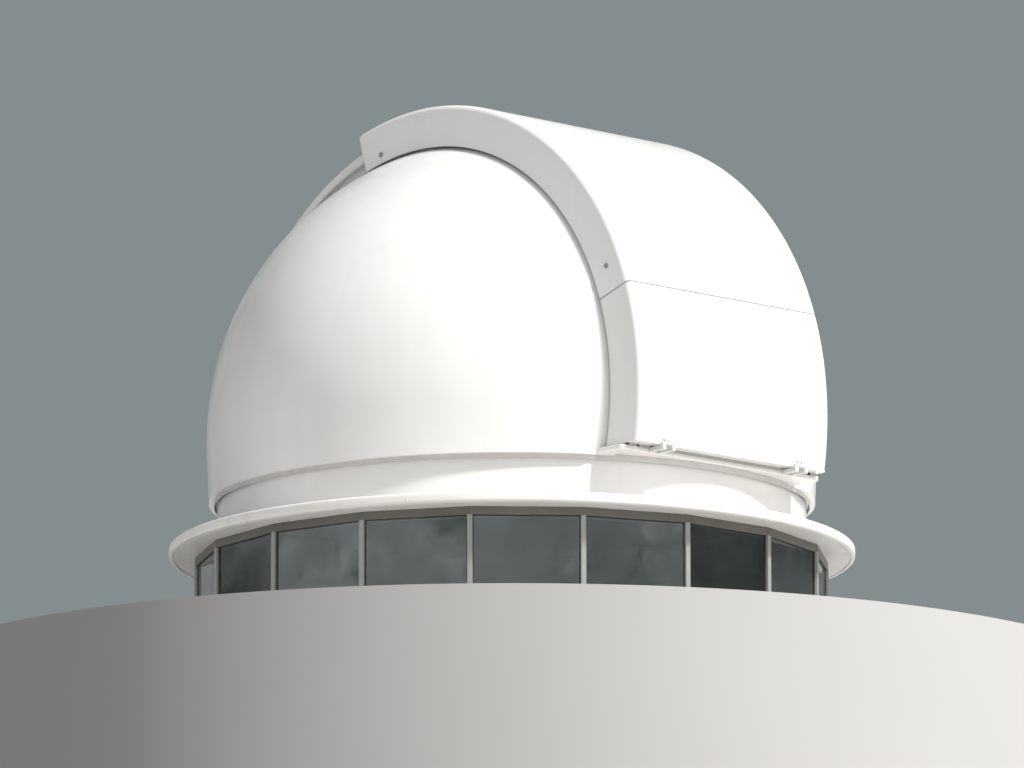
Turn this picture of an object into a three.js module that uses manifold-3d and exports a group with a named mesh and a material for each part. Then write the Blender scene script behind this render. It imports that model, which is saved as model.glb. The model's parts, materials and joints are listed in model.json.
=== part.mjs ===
// Observatory dome: a glass-fibre dome with a two-part shutter, turning on a glazed drum.
// Millimetres, +Z up. The origin is on the drum's axis, at its foot. The slit faces -Y.
import * as THREE from 'three';
import { mergeVertices } from 'three/addons/utils/BufferGeometryUtils.js';
import Module from 'manifold-3d';

const wasm = await Module();
wasm.setup();

// Clearances
const FIT_GAP = 0.3;          // between pieces that are fixed to each other
const RUN_GAP = 7;            // between pieces that move past each other

// Drum: a low curb, a band of flat panes, and the eave board that covers it
const BAYS = 18;
const BAY = 360 / BAYS;
const CURB_TOP = 120;
const CURB_IN = 1457;
const CURB_OUT = 1534;
const SILL_OUT = 1562;
const SILL_FALL = 18;         // the curb's sill slopes down this far to its lip
const SILL_LIP = 8;
const SILL_UNDER = 22;
const EAVE_BOTTOM = 620;
const EAVE_TOP = 670;
const EAVE_IN = 1370;
const EAVE_OUT = 1681;
const EAVE_ROUND = 7;
const FRAME_IN = 1481;
const FRAME_OUT = 1529;
const SILL_RAIL = 45;
const HEAD_RAIL = 40;
const POST = 30;
const PANE_IN = 1493;
const PANE_OUT = 1517;

// Fixed ring that the dome turns on
const SKIRT_R = 1445;
const SKIRT_TOP = 880;
const SKIRT_WALL = 10;
const SKIRT_EASE = 4;
const SKIRT_FOOT_IN = 1375;
const SKIRT_LIP = 9;
const SKIRT_LIP_IN = 1408;
const ROLLERS = 6;
const ROLLER_R = 35;
const ROLLER_WIDE = 30;
const ROLLER_AT = 1375;
const ROLLER_PIN_R = 10;
const ROLLER_PIN_BITE = 5;
const ROLLER_BRACKET_OFF = 15;
const ROLLER_BRACKET_HALF = 35;
const ROLLER_BRACKET_DROP = 45;
const ROLLER_BRACKET_TURN = 3;     // sets its flat back clear of the round wall

// Dome shell: part of a sphere that runs on below its widest ring
const GROOVE = 890;
const CENTRE = 1210;
const DOME_R = 1500;
const DOME_WALL = 8;
const DOME_STEPS = 60;
const RING_STEP = 6;
const RUNNING_RING_IN = 1340;
const RUNNING_RING_TOP = 898;

// Foot of the shells beside the slit: a nearly upright band that overhangs the fixed ring
const HEM_R = 1487;
const HEM_IN = 1440;
const HEM_TOP = 1060;
const HEM_TOP_R = 1494.8;
const HEM_RUNOUT = 16;
const HEM_EASE = 4;

// Slit, its two rails and its sill
const RAIL_IN = 561;
const RAIL_OUT = 573;
const RAIL_LOW = 1372;
const RAIL_TOP = 1512;
const TRACK_OUT = 607;
const TRACK_LOW = 1396;       // running face of the lower flange
const TRACK_HIGH = 1440;      // underside of the upper flange
const TRACK_TOP = 1450;       // running face of the upper flange
const TRACK_PLATE = 6;
const RAIL_STEP = 3;
const RAIL_FRONT = -15;
const RAIL_REAR = 195;
const SLIT_END = 99.8;
const CROSSBAR_START = 98.38;
const CROSSBAR_END = 99.78;
const CROSSBAR_LOW = 1382;
const CROSSBAR_TOP = 1508;
const SILL_TOP = 922;
const SILL_HALF = 660;
const SILL_FRONT = 1485;
const SILL_BACK = 1312;
const SILL_ROUND = 25;

// Shutter: an upper part that rolls over the top and a lower flap that folds out
const COVER_R = 1582;
const COVER_HALF = 632;
const COVER_WALL = 10;
const COVER_ROUND = 30;
const COVER_ROUND_STEP = 22.5;
const ARCH_STEP = 5;
const CHEEK_LOW = 1376;
const SEAM = 18.5;
const SEAM_HALF = 0.14;
const FLAP_START = -14;
const SHUTTER_END = 106.2;
const BAR_LOW = 1519;
const BAR = 0.45;
const BAR_INSET = 0.3;
const BAR_CORNER = 22;
const BAR_EASE = 4;
const REAR_ROLLER = { phi: 100.7, radius: 21.2, seat: TRACK_LOW };
const FRONT_ROLLER = { phi: 23.7, radius: 24.7, seat: TRACK_TOP };
const WHEEL_IN = 576;
const WHEEL_OUT = 604;
const AXLE_R = 8;
const AXLE_BITE = 2;

// Hinges of the lower flap, on brackets that reach forward from the sill's front face
const HINGE_X = 440;
const HINGE_Y = -1573;
const HINGE_Z = 934;
const KNUCKLE_R = 9;
const KNUCKLE_HALF = 20;
const KNUCKLE_GAP = 0.5;
const PIN_R = 4;
const STRAP = 5;
const STRAP_TOP = -9;
const WEB_BACK = -1558;
const WEB_LOW = 4;
const WEB_HIGH = 8;
const WEB_FRONT = 2;
const BRACKET_HALF = 42;
const BRACKET_PLATE = 6;
const BRACKET_LOW = 900;
const BRACKET_TOP = 921.5;
const ARM_LOW = 903.5;
const RISER_HALF = 6;

const rad = THREE.MathUtils.degToRad;

function finish(roughness, colour, metalness = 0, opacity = 1) {
  return new THREE.MeshStandardMaterial({
    color: colour, roughness, metalness, opacity, transparent: opacity < 1,
  });
}

const gelcoat = finish(0.3, 0xf2f2ef);
const eavePaint = finish(0.5, 0xeeeae2);
const framePaint = finish(0.45, 0xb9bdba);
const paneGlass = finish(0.08, 0x4c5753, 0, 0.45);
const zinc = finish(0.5, 0x9a9da3, 0.7);
const alloy = finish(0.4, 0xb4b6b8, 0.8);
const nylon = finish(0.6, 0x3a3a3c);
const darkSteel = finish(0.5, 0x4a4a4c, 0.8);

function solid(geometry) {
  const bare = geometry.clone();
  bare.deleteAttribute('normal');
  bare.deleteAttribute('uv');
  const merged = mergeVertices(bare, 1e-4);
  return new wasm.Manifold(new wasm.Mesh({
    numProp: 3,
    vertProperties: new Float32Array(merged.getAttribute('position').array),
    triVerts: new Uint32Array(merged.getIndex().array),
  }));
}

function geometryOf(body) {
  const mesh = body.getMesh();
  const geometry = new THREE.BufferGeometry();
  geometry.setAttribute('position', new THREE.BufferAttribute(Float32Array.from(mesh.vertProperties), 3));
  geometry.setIndex(Array.from(mesh.triVerts));
  return geometry;
}

// A closed outline carried through a row of stations. place(u, v, station) gives each corner's point.
function sweep(outline, stations, place) {
  const count = outline.length;
  const points = [];
  for (const station of stations) {
    for (const [u, v] of outline) {
      points.push(place(u, v, station));
    }
  }
  const faces = [];
  for (let row = 0; row < stations.length - 1; row += 1) {
    for (let i = 0; i < count; i += 1) {
      const a = row * count + i;
      const b = row * count + (i + 1) % count;
      faces.push([a, b, b + count], [a, b + count, a + count]);
    }
  }
  const contour = outline.map(([u, v]) => new THREE.Vector2(u, v));
  const last = (stations.length - 1) * count;
  for (const [a, b, c] of THREE.ShapeUtils.triangulateShape(contour, [])) {
    const turned = THREE.ShapeUtils.isClockWise(contour);
    const face = turned ? [a, b, c] : [c, b, a];
    faces.push(face, face.map((corner) => corner + last).reverse());
  }
  let volume = 0;
  for (const [a, b, c] of faces) {
    volume += points[a].dot(new THREE.Vector3().crossVectors(points[b], points[c]));
  }
  const outward = volume > 0 ? faces : faces.map((face) => [...face].reverse());
  const geometry = new THREE.BufferGeometry().setFromPoints(points);
  geometry.setIndex(outward.flat());
  return geometry;
}

// Angles from start to end in equal steps of about the given size
function angles(start, end, step) {
  const count = Math.max(1, Math.ceil((end - start) / step - 1e-6));
  return Array.from({ length: count + 1 }, (_, i) => start + (end - start) * i / count);
}

// A round ring segment: the outline is in radius and height
function ringPiece(outline, start, end) {
  const half = THREE.MathUtils.radToDeg(FIT_GAP / 2 / DOME_R);
  return sweep(outline, angles(start + half, end - half, RING_STEP), (r, z, azimuth) => (
    new THREE.Vector3(r * Math.cos(rad(azimuth)), r * Math.sin(rad(azimuth)), z)
  ));
}

// A ring segment with flat sides, one to a bay: the outline's radius is measured to the flat
function facetPiece(outline, start, end) {
  const half = THREE.MathUtils.radToDeg(FIT_GAP / 2 / DOME_R);
  const stations = [start + half];
  for (let corner = BAY * Math.ceil((start + 1) / BAY); corner < end - 1; corner += BAY) {
    stations.push(corner);
  }
  stations.push(end - half);
  return sweep(outline, stations, (r, z, azimuth) => {
    const offFlat = azimuth + 90 - BAY * Math.round((azimuth + 90) / BAY);
    const reach = r / Math.cos(rad(offFlat));
    return new THREE.Vector3(reach * Math.cos(rad(azimuth)), reach * Math.sin(rad(azimuth)), z);
  });
}

// A piece curved about the shutter's axis: the outline is in x and distance from that axis
function archPiece(outline, start, end, step = ARCH_STEP) {
  return sweep(outline, angles(start, end, step), (x, r, phi) => (
    new THREE.Vector3(x, -r * Math.cos(rad(phi)), CENTRE + r * Math.sin(rad(phi)))
  ));
}

function box(low, high) {
  const geometry = new THREE.BoxGeometry(high[0] - low[0], high[1] - low[1], high[2] - low[2]);
  geometry.translate((low[0] + high[0]) / 2, (low[1] + high[1]) / 2, (low[2] + high[2]) / 2);
  return solid(geometry);
}

function rectangle(x0, x1, y0, y1) {
  return [[x0, y0], [x1, y0], [x1, y1], [x0, y1]];
}

// A rod along X from x0 to x1, at a place in the YZ plane
function rod(x0, x1, y, z, radius, sides = 20) {
  const geometry = new THREE.CylinderGeometry(radius, radius, x1 - x0, sides);
  geometry.rotateZ(Math.PI / 2);
  geometry.translate((x0 + x1) / 2, y, z);
  return solid(geometry);
}

// The dome's ball, turned about the X axis so that the slit's edges lie on its rings
function ball(radius) {
  const steps = DOME_STEPS / 2;
  const profile = Array.from({ length: steps + 1 }, (_, i) => {
    const turn = Math.PI * i / steps;
    const onAxis = i === 0 || i === steps;
    return new THREE.Vector2(onAxis ? 0 : radius * Math.sin(turn), -radius * Math.cos(turn));
  });
  const geometry = new THREE.LatheGeometry(profile, DOME_STEPS);
  geometry.rotateZ(-Math.PI / 2);
  geometry.translate(0, 0, CENTRE);
  return solid(geometry);
}

const FAR = 2000;
const model = new THREE.Group();
const base = new THREE.Group();
const dome = new THREE.Group();
const upperShutter = new THREE.Group();
const lowerFlap = new THREE.Group();
model.add(base, dome);
dome.add(upperShutter, lowerFlap);

function add(group, name, material, shape) {
  const geometry = shape instanceof THREE.BufferGeometry ? shape : geometryOf(shape);
  const flat = geometry.index ? geometry.toNonIndexed() : geometry;
  flat.computeVertexNormals();
  const mesh = new THREE.Mesh(flat, material);
  mesh.name = name;
  group.add(mesh);
}

// Mirrored pairs: the shape is made on the +X side
function addPair(group, name, material, shape) {
  const right = shape instanceof THREE.BufferGeometry ? solid(shape) : shape;
  add(group, `${name}_left`, material, right.mirror([1, 0, 0]));
  add(group, `${name}_right`, material, right);
}

function curb(index) {
  const outline = [
    [CURB_IN, 0], [CURB_OUT, 0], [CURB_OUT, CURB_TOP - SILL_UNDER],
    [SILL_OUT, CURB_TOP - SILL_FALL - SILL_LIP], [SILL_OUT, CURB_TOP - SILL_FALL],
    [FRAME_OUT, CURB_TOP - FIT_GAP], [CURB_IN, CURB_TOP - FIT_GAP],
  ];
  const start = -100 + 120 * index;
  add(base, `curb_${index + 1}`, zinc, facetPiece(outline, start, start + 120));
}

function windowFrame(index) {
  const start = -30 + 120 * index;
  const ring = rectangle(FRAME_IN, FRAME_OUT, CURB_TOP, EAVE_BOTTOM);
  const low = CURB_TOP + SILL_RAIL;
  const high = EAVE_BOTTOM - HEAD_RAIL;
  let frame = solid(facetPiece(ring, start, start + 120));
  const paneWide = 2 * FRAME_IN * Math.tan(rad(BAY / 2)) - POST;
  for (let bay = start; bay <= start + 120; bay += BAY) {
    const hole = new THREE.BoxGeometry(FAR, paneWide, high - low);
    hole.translate(FAR / 2, 0, (low + high) / 2);
    hole.rotateZ(rad(bay));
    frame = frame.subtract(solid(hole));
  }
  const slot = rectangle(PANE_IN - FIT_GAP, PANE_OUT + FIT_GAP, low, high);
  const groove = solid(facetPiece(slot, start - BAY / 2, start + 120 + BAY / 2));
  add(base, `window_frame_${index + 1}`, framePaint, frame.subtract(groove));
}

function glazing(index) {
  const start = -100 + 60 * index;
  const low = CURB_TOP + SILL_RAIL + FIT_GAP;
  const high = EAVE_BOTTOM - HEAD_RAIL - FIT_GAP;
  const outline = rectangle(PANE_IN, PANE_OUT, low, high);
  add(base, `glazing_${index + 1}`, paneGlass, facetPiece(outline, start, start + 60));
}

function eaveRing(index) {
  const low = EAVE_BOTTOM + FIT_GAP;
  const outline = [
    [EAVE_IN, low], [EAVE_OUT - EAVE_ROUND, low], [EAVE_OUT, low + EAVE_ROUND],
    [EAVE_OUT, EAVE_TOP - EAVE_ROUND], [EAVE_OUT - EAVE_ROUND, EAVE_TOP], [EAVE_IN, EAVE_TOP],
  ];
  const start = -30 + 120 * index;
  add(base, `eave_ring_${index + 1}`, eavePaint, ringPiece(outline, start, start + 120));
}

function baseRing(index) {
  const low = EAVE_TOP + FIT_GAP;
  const wall = SKIRT_R - SKIRT_WALL;
  const outline = [
    [SKIRT_FOOT_IN, low], [SKIRT_R, low], [SKIRT_R, SKIRT_TOP - SKIRT_EASE],
    [SKIRT_R - SKIRT_EASE, SKIRT_TOP], [SKIRT_LIP_IN, SKIRT_TOP], [SKIRT_LIP_IN, SKIRT_TOP - SKIRT_LIP],
    [wall, SKIRT_TOP - SKIRT_LIP], [wall, low + SKIRT_WALL], [SKIRT_FOOT_IN, low + SKIRT_WALL],
  ];
  const start = 30 + 120 * index;
  add(base, `base_ring_${index + 1}`, gelcoat, ringPiece(outline, start, start + 120));
}

function domeRoller(index) {
  const axle = GROOVE - FIT_GAP - ROLLER_R;
  const wheelOut = ROLLER_AT + ROLLER_WIDE / 2;
  const plateIn = wheelOut + ROLLER_BRACKET_OFF;
  const wall = SKIRT_R - SKIRT_WALL - FIT_GAP;
  const plateOut = wall * Math.cos(rad(ROLLER_BRACKET_TURN));
  const wheel = rod(ROLLER_AT - ROLLER_WIDE / 2, wheelOut, 0, axle, ROLLER_R, 28);
  const pin = rod(wheelOut - ROLLER_PIN_BITE, plateIn + ROLLER_PIN_BITE, 0, axle, ROLLER_PIN_R, 12);
  const bracket = box(
    [plateIn, -ROLLER_BRACKET_HALF, axle - ROLLER_BRACKET_DROP],
    [plateOut, ROLLER_BRACKET_HALF, SKIRT_TOP - SKIRT_LIP - FIT_GAP],
  );
  const azimuth = 360 / ROLLERS * (index + 0.5);
  const body = wheel.add(pin).add(bracket).rotate([0, 0, azimuth]);
  add(base, `dome_roller_${index + 1}`, nylon, body);
}

const domeBall = ball(DOME_R);
const domeHollow = ball(DOME_R - DOME_WALL);
const domeShell = domeBall.subtract(domeHollow);

// The band round the shells' foot, from one end of the slit's sill to the slit's tracks at the back
function shellHem() {
  const outline = [
    [HEM_IN, GROOVE], [HEM_R - HEM_EASE, GROOVE], [HEM_R, GROOVE + HEM_EASE], [HEM_TOP_R, HEM_TOP],
    [HEM_TOP_R - HEM_RUNOUT, HEM_TOP + HEM_RUNOUT], [HEM_IN, HEM_TOP + HEM_RUNOUT],
  ];
  const outside = box([SILL_HALF + FIT_GAP, -FAR, 0], [FAR, FAR, FAR]);
  return solid(ringPiece(outline, -90, 90)).intersect(outside).subtract(domeHollow);
}

// Each side of the ball is moulded in two quarters that meet in an upright joint
function domeQuarters() {
  const front = box([RAIL_OUT + FIT_GAP, -FAR, GROOVE], [FAR, -FIT_GAP / 2, CENTRE + FAR]);
  const rear = box([RAIL_OUT + FIT_GAP, FIT_GAP / 2, GROOVE], [FAR, FAR, CENTRE + FAR]);
  const side = domeShell.add(shellHem());
  addPair(dome, 'dome_shell_front', gelcoat, side.intersect(front));
  addPair(dome, 'dome_shell_rear', gelcoat, side.intersect(rear));
}

function rearPanel() {
  const half = RAIL_IN - FIT_GAP;
  const strip = box([-half, -FAR, GROOVE], [half, FAR, CENTRE + FAR]);
  const behind = solid(archPiece(rectangle(-RAIL_OUT, RAIL_OUT, DOME_R / 2, FAR), SLIT_END, RAIL_REAR));
  add(dome, 'rear_panel', gelcoat, domeShell.intersect(strip).intersect(behind));
}

function runningRing() {
  const outline = rectangle(RUNNING_RING_IN, DOME_R, GROOVE, RUNNING_RING_TOP);
  const inside = ball(DOME_R - DOME_WALL - FIT_GAP);
  addPair(dome, 'running_ring', alloy, solid(ringPiece(outline, -90, 90)).intersect(inside));
}

function slitRails() {
  const outline = [
    [RAIL_IN, RAIL_LOW], [RAIL_OUT, RAIL_LOW], [RAIL_OUT, TRACK_LOW - TRACK_PLATE],
    [TRACK_OUT, TRACK_LOW - TRACK_PLATE], [TRACK_OUT, TRACK_LOW], [RAIL_OUT, TRACK_LOW],
    [RAIL_OUT, TRACK_HIGH], [TRACK_OUT, TRACK_HIGH], [TRACK_OUT, TRACK_TOP], [RAIL_OUT, TRACK_TOP],
    [RAIL_OUT, RAIL_TOP], [RAIL_IN, RAIL_TOP],
  ];
  const front = box([0, -FAR, SILL_TOP + FIT_GAP], [FAR, 0, CENTRE + FAR]);
  const rear = box([0, -1, RUNNING_RING_TOP + FIT_GAP], [FAR, FAR, CENTRE + FAR]);
  const whole = solid(archPiece(outline, RAIL_FRONT, RAIL_REAR, RAIL_STEP));
  addPair(dome, 'slit_rail', alloy, whole.intersect(front.add(rear)));
}

function slitCrossbar() {
  const half = RAIL_IN - FIT_GAP;
  const outline = rectangle(-half, half, CROSSBAR_LOW, CROSSBAR_TOP);
  add(dome, 'slit_crossbar', alloy, archPiece(outline, CROSSBAR_START, CROSSBAR_END));
}

function slitSill() {
  const shape = new THREE.Shape();
  shape.moveTo(-SILL_HALF, -SILL_BACK);
  shape.lineTo(-SILL_HALF, -SILL_FRONT + SILL_ROUND);
  shape.absarc(-SILL_HALF + SILL_ROUND, -SILL_FRONT + SILL_ROUND, SILL_ROUND, Math.PI, 1.5 * Math.PI);
  shape.absarc(SILL_HALF - SILL_ROUND, -SILL_FRONT + SILL_ROUND, SILL_ROUND, 1.5 * Math.PI, 2 * Math.PI);
  shape.lineTo(SILL_HALF, -SILL_BACK);
  const low = RUNNING_RING_TOP + FIT_GAP;
  const depth = SILL_TOP - low;
  const plate = new THREE.ExtrudeGeometry(shape, { depth, bevelEnabled: false, curveSegments: 4 });
  plate.translate(0, 0, low);
  const beside = box([RAIL_OUT, -FAR, 0], [FAR, 0, FAR]);
  const lobes = beside.add(beside.mirror([1, 0, 0])).intersect(ball(DOME_R + FIT_GAP));
  add(dome, 'slit_sill', gelcoat, solid(plate).subtract(lobes));
}

function coverOutline() {
  const arc = (cx, cy, r, from, to) => angles(from, to, COVER_ROUND_STEP).map((a) => (
    [cx + r * Math.cos(rad(a)), cy + r * Math.sin(rad(a))]
  ));
  const cx = COVER_HALF - COVER_ROUND;
  const cy = COVER_R - COVER_ROUND;
  const inner = COVER_ROUND - COVER_WALL;
  return [
    ...arc(cx, cy, COVER_ROUND, 0, 90),
    ...arc(-cx, cy, COVER_ROUND, 90, 180),
    ...arc(-cx, cy, inner, 90, 180).reverse(),
    ...arc(cx, cy, inner, 0, 90).reverse(),
  ];
}

function shutterPart(group, name, start, end, keep) {
  add(group, `${name}_cover`, gelcoat, solid(archPiece(coverOutline(), start, end)).intersect(keep));
  const top = COVER_R - COVER_ROUND - FIT_GAP;
  const outline = rectangle(COVER_HALF - COVER_WALL, COVER_HALF, CHEEK_LOW, top);
  addPair(group, `${name}_cheek`, gelcoat, solid(archPiece(outline, start, end)).intersect(keep));
}

function shutterBar(name, start) {
  const half = COVER_HALF - COVER_WALL - FIT_GAP;
  const top = (COVER_R - COVER_WALL) * Math.cos(rad(ARCH_STEP / 2)) - FIT_GAP;
  const corner = COVER_R - COVER_ROUND - BAR_EASE;
  const inset = half - BAR_CORNER;
  const outline = [
    [-half, BAR_LOW], [half, BAR_LOW], [half, corner], [inset, top], [-inset, top], [-half, corner],
  ];
  add(upperShutter, name, gelcoat, archPiece(outline, start, start + BAR));
}

function shutterRollers(name, { phi, radius, seat }) {
  const centre = seat + FIT_GAP + radius;
  const y = -centre * Math.cos(rad(phi));
  const z = CENTRE + centre * Math.sin(rad(phi));
  const wheel = rod(WHEEL_IN, WHEEL_OUT, y, z, radius);
  const axle = rod(WHEEL_OUT - AXLE_BITE, COVER_HALF - COVER_WALL - FIT_GAP, y, z, AXLE_R, 12);
  addPair(upperShutter, name, nylon, wheel.add(axle));
}

function upperShutterParts() {
  const all = box([-FAR, -FAR, 0], [FAR, FAR, CENTRE + FAR]);
  shutterPart(upperShutter, 'shutter', SEAM + SEAM_HALF, SHUTTER_END, all);
  shutterBar('shutter_front_bar', SEAM + SEAM_HALF + BAR_INSET);
  shutterBar('shutter_rear_wall', SHUTTER_END - BAR - BAR_INSET);
  shutterRollers('shutter_roller_rear', REAR_ROLLER);
  shutterRollers('shutter_roller_front', FRONT_ROLLER);
}

function lowerFlapParts() {
  const above = box([-FAR, -FAR, SILL_TOP + RUN_GAP], [FAR, 0, CENTRE + FAR]);
  shutterPart(lowerFlap, 'flap', FLAP_START, SEAM - SEAM_HALF, above);
}

function flapHinges() {
  const left = HINGE_X - KNUCKLE_HALF;
  const right = HINGE_X + KNUCKLE_HALF;
  const outer = COVER_R + FIT_GAP;
  const strapLow = -Math.asin((CENTRE - SILL_TOP - RUN_GAP) / outer) * 180 / Math.PI;
  const strap = solid(archPiece(rectangle(left, right, outer, outer + STRAP), strapLow, STRAP_TOP));
  const web = box([left, HINGE_Y - WEB_FRONT, HINGE_Z - WEB_LOW], [right, WEB_BACK, HINGE_Z + WEB_HIGH]);
  const coverSpace = rectangle(0, COVER_HALF, COVER_R - COVER_WALL, outer);
  const flap = solid(archPiece(coverSpace, FLAP_START, SEAM - SEAM_HALF));
  const body = rod(left, right, HINGE_Y, HINGE_Z, KNUCKLE_R).add(strap).add(web).subtract(flap);
  const bore = rod(0, COVER_HALF, HINGE_Y, HINGE_Z, PIN_R + FIT_GAP, 16);
  addPair(lowerFlap, 'flap_hinge', darkSteel, body.subtract(bore));

  const pin = rod(HINGE_X - BRACKET_HALF, HINGE_X + BRACKET_HALF, HINGE_Y, HINGE_Z, PIN_R, 16);
  const back = -SILL_FRONT - FIT_GAP;
  let bracket = pin.add(box(
    [HINGE_X - BRACKET_HALF, back - BRACKET_PLATE, BRACKET_LOW],
    [HINGE_X + BRACKET_HALF, back, BRACKET_TOP],
  ));
  for (const side of [-1, 1]) {
    const near = HINGE_X + side * (KNUCKLE_HALF + KNUCKLE_GAP);
    const far = HINGE_X + side * BRACKET_HALF;
    const x0 = Math.min(near, far);
    const x1 = Math.max(near, far);
    bracket = bracket.add(rod(x0, x1, HINGE_Y, HINGE_Z, KNUCKLE_R));
    bracket = bracket.add(box([x0, HINGE_Y - RISER_HALF, ARM_LOW], [x1, HINGE_Y + RISER_HALF, HINGE_Z]));
    const armBack = back - BRACKET_PLATE / 2;
    bracket = bracket.add(box([x0, HINGE_Y - KNUCKLE_R, ARM_LOW], [x1, armBack, BRACKET_TOP]));
  }
  addPair(dome, 'hinge_bracket', darkSteel, bracket);
}

for (let i = 0; i < 3; i += 1) {
  curb(i);
  windowFrame(i);
  eaveRing(i);
  baseRing(i);
}
for (let i = 0; i < 6; i += 1) {
  glazing(i);
}
for (let i = 0; i < ROLLERS; i += 1) {
  domeRoller(i);
}
domeQuarters();
rearPanel();
runningRing();
slitRails();
slitCrossbar();
slitSill();
upperShutterParts();
lowerFlapParts();
flapHinges();

export default model;
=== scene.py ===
import json
from math import acos, asin, atan2, cos, degrees, hypot, radians, sin, sqrt, tan

import bmesh
import bpy
from mathutils import Matrix, Vector


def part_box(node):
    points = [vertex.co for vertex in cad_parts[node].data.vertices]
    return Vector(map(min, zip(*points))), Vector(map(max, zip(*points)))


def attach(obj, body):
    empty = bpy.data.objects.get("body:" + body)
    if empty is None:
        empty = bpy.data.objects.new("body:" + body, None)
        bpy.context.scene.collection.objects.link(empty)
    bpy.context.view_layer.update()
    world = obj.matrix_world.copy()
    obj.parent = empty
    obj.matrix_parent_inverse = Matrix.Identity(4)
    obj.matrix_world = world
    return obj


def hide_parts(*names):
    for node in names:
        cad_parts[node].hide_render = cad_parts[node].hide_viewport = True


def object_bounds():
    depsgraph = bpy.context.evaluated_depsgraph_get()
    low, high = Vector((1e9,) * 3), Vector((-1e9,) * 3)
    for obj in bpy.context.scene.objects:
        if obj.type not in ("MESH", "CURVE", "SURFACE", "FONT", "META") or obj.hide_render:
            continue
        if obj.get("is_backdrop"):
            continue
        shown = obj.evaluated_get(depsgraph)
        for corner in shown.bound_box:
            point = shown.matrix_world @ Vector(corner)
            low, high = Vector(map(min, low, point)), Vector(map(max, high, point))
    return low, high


# Lengths are in metres and angles in degrees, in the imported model's own frame.
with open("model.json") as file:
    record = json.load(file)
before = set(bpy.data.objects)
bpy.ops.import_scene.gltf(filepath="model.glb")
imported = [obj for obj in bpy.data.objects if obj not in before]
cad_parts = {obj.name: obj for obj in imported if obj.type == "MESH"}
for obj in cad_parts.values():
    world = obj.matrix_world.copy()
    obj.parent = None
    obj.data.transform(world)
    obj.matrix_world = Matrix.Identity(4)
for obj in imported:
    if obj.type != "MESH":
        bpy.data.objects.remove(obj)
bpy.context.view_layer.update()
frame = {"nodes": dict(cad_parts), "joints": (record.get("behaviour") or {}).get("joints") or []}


# Camera. The photograph looks up at the dome from its front left, ten degrees below the dome's foot.
# It stands as far off as the real camera did, and a longer lens fills the frame with the dome.
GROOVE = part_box("dome_shell_front_left")[0].z     # level of the dome's lower edge
VIEW_AZIMUTH = -42.6
VIEW_ELEVATION = -9.97
VIEW_DISTANCE = 42.58
LENS = 305.0
view_centre = Vector((0.0, 0.0, 1.5))


def toward(azimuth, elevation):
    """The direction from the dome to a place round it. Azimuth 0 is before the slit, 90 at its right."""
    a = radians(azimuth)
    e = radians(elevation)
    return Vector((sin(a) * cos(e), -cos(a) * cos(e), sin(e)))


def aimed(thing, place):
    """Stands a lamp or the camera at a place and points it at the middle of the dome."""
    thing.location = place
    thing.rotation_mode = "QUATERNION"
    thing.rotation_quaternion = (view_centre - place).to_track_quat("-Z", "Y")
    bpy.context.scene.collection.objects.link(thing)


camera = bpy.data.objects.new("camera", bpy.data.cameras.new("camera"))
camera.data.lens = LENS
camera.data.clip_end = 400.0
aimed(camera, Vector((0.0, 0.0, GROOVE)) + toward(VIEW_AZIMUTH, VIEW_ELEVATION) * VIEW_DISTANCE)
bpy.context.scene.camera = camera
bpy.context.scene.view_settings.view_transform = "Standard"


# Studio light. One soft lamp stands high in front and a little to the right, as the sun does, so the
# near cheek of the shutter falls in shade. The room is pale overhead, beside the camera and at the
# front right, and dim behind. What glass and gloss mirror is patchy, as a real surrounding is.
KEY_AZIMUTH = 6.0
KEY_ELEVATION = 48.0
KEY_AWAY = 45.0
KEY_SIZE = 5.0
KEY_POWER = 26000
KEY_COLOUR = (1.0, 0.98, 0.955)
ROOM_TOP = (0.50, 0.52, 0.56, 1.0)
ROOM_SIDE = (0.085, 0.09, 0.09, 1.0)
ROOM_NEAR = (0.445, 0.425, 0.425, 1.0)
ROOM_RIGHT = (1.8, 1.78, 1.75, 1.0)
NEAR_SIDE = (-64.0, 4.0)             # azimuth and elevation of the middle of each pale side
RIGHT_SIDE = (36.0, 8.0)
NEAR_POWER = 2.2                     # how fast each side falls off
RIGHT_POWER = 5.0
SIDE_ENDS = -0.05                    # heights between which the room turns from its side to its top
TOP_BEGINS = 0.9
PATCH_LOW = 0.40                     # noise levels between which a mirrored patch turns pale
PATCH_HIGH = 0.62
MIRROR_DARK = (0.36, 0.43, 0.36, 1.0)
MIRROR_PALE = (1.75, 1.80, 1.90, 1.0)
BLACK = (0.0, 0.0, 0.0, 1.0)
BACKDROP = (0.235, 0.27, 0.27, 1.0)


def set_inputs(node, **values):
    for name, value in values.items():
        node.inputs[name.replace("_", " ")].default_value = value
    return node


def feed(tree, socket, value):
    """Gives a socket a number or colour of its own, or the output of another node."""
    if isinstance(value, bpy.types.NodeSocket):
        tree.links.new(value, socket)
    else:
        socket.default_value = value


def ramp(tree, value, low, high, to_low=0.0, to_high=1.0):
    step = tree.nodes.new("ShaderNodeMapRange")
    set_inputs(step, To_Min=to_low, To_Max=to_high)
    for name, source in (("Value", value), ("From Min", low), ("From Max", high)):
        feed(tree, step.inputs[name], source)
    return step.outputs["Result"]


def blended(tree, factor, first, second):
    mix = tree.nodes.new("ShaderNodeMix")
    mix.data_type = "RGBA"
    for name, source in (("Factor", factor), ("A", first), ("B", second)):
        feed(tree, mix.inputs[name], source)
    return mix.outputs["Result"]


def combined(tree, operation, first, second):
    """Two values multiplied, or the larger of the two, and so on."""
    sum_up = tree.nodes.new("ShaderNodeMath")
    sum_up.operation = operation
    for socket, source in zip(sum_up.inputs, (first, second)):
        feed(tree, socket, source)
    return sum_up.outputs[0]


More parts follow.
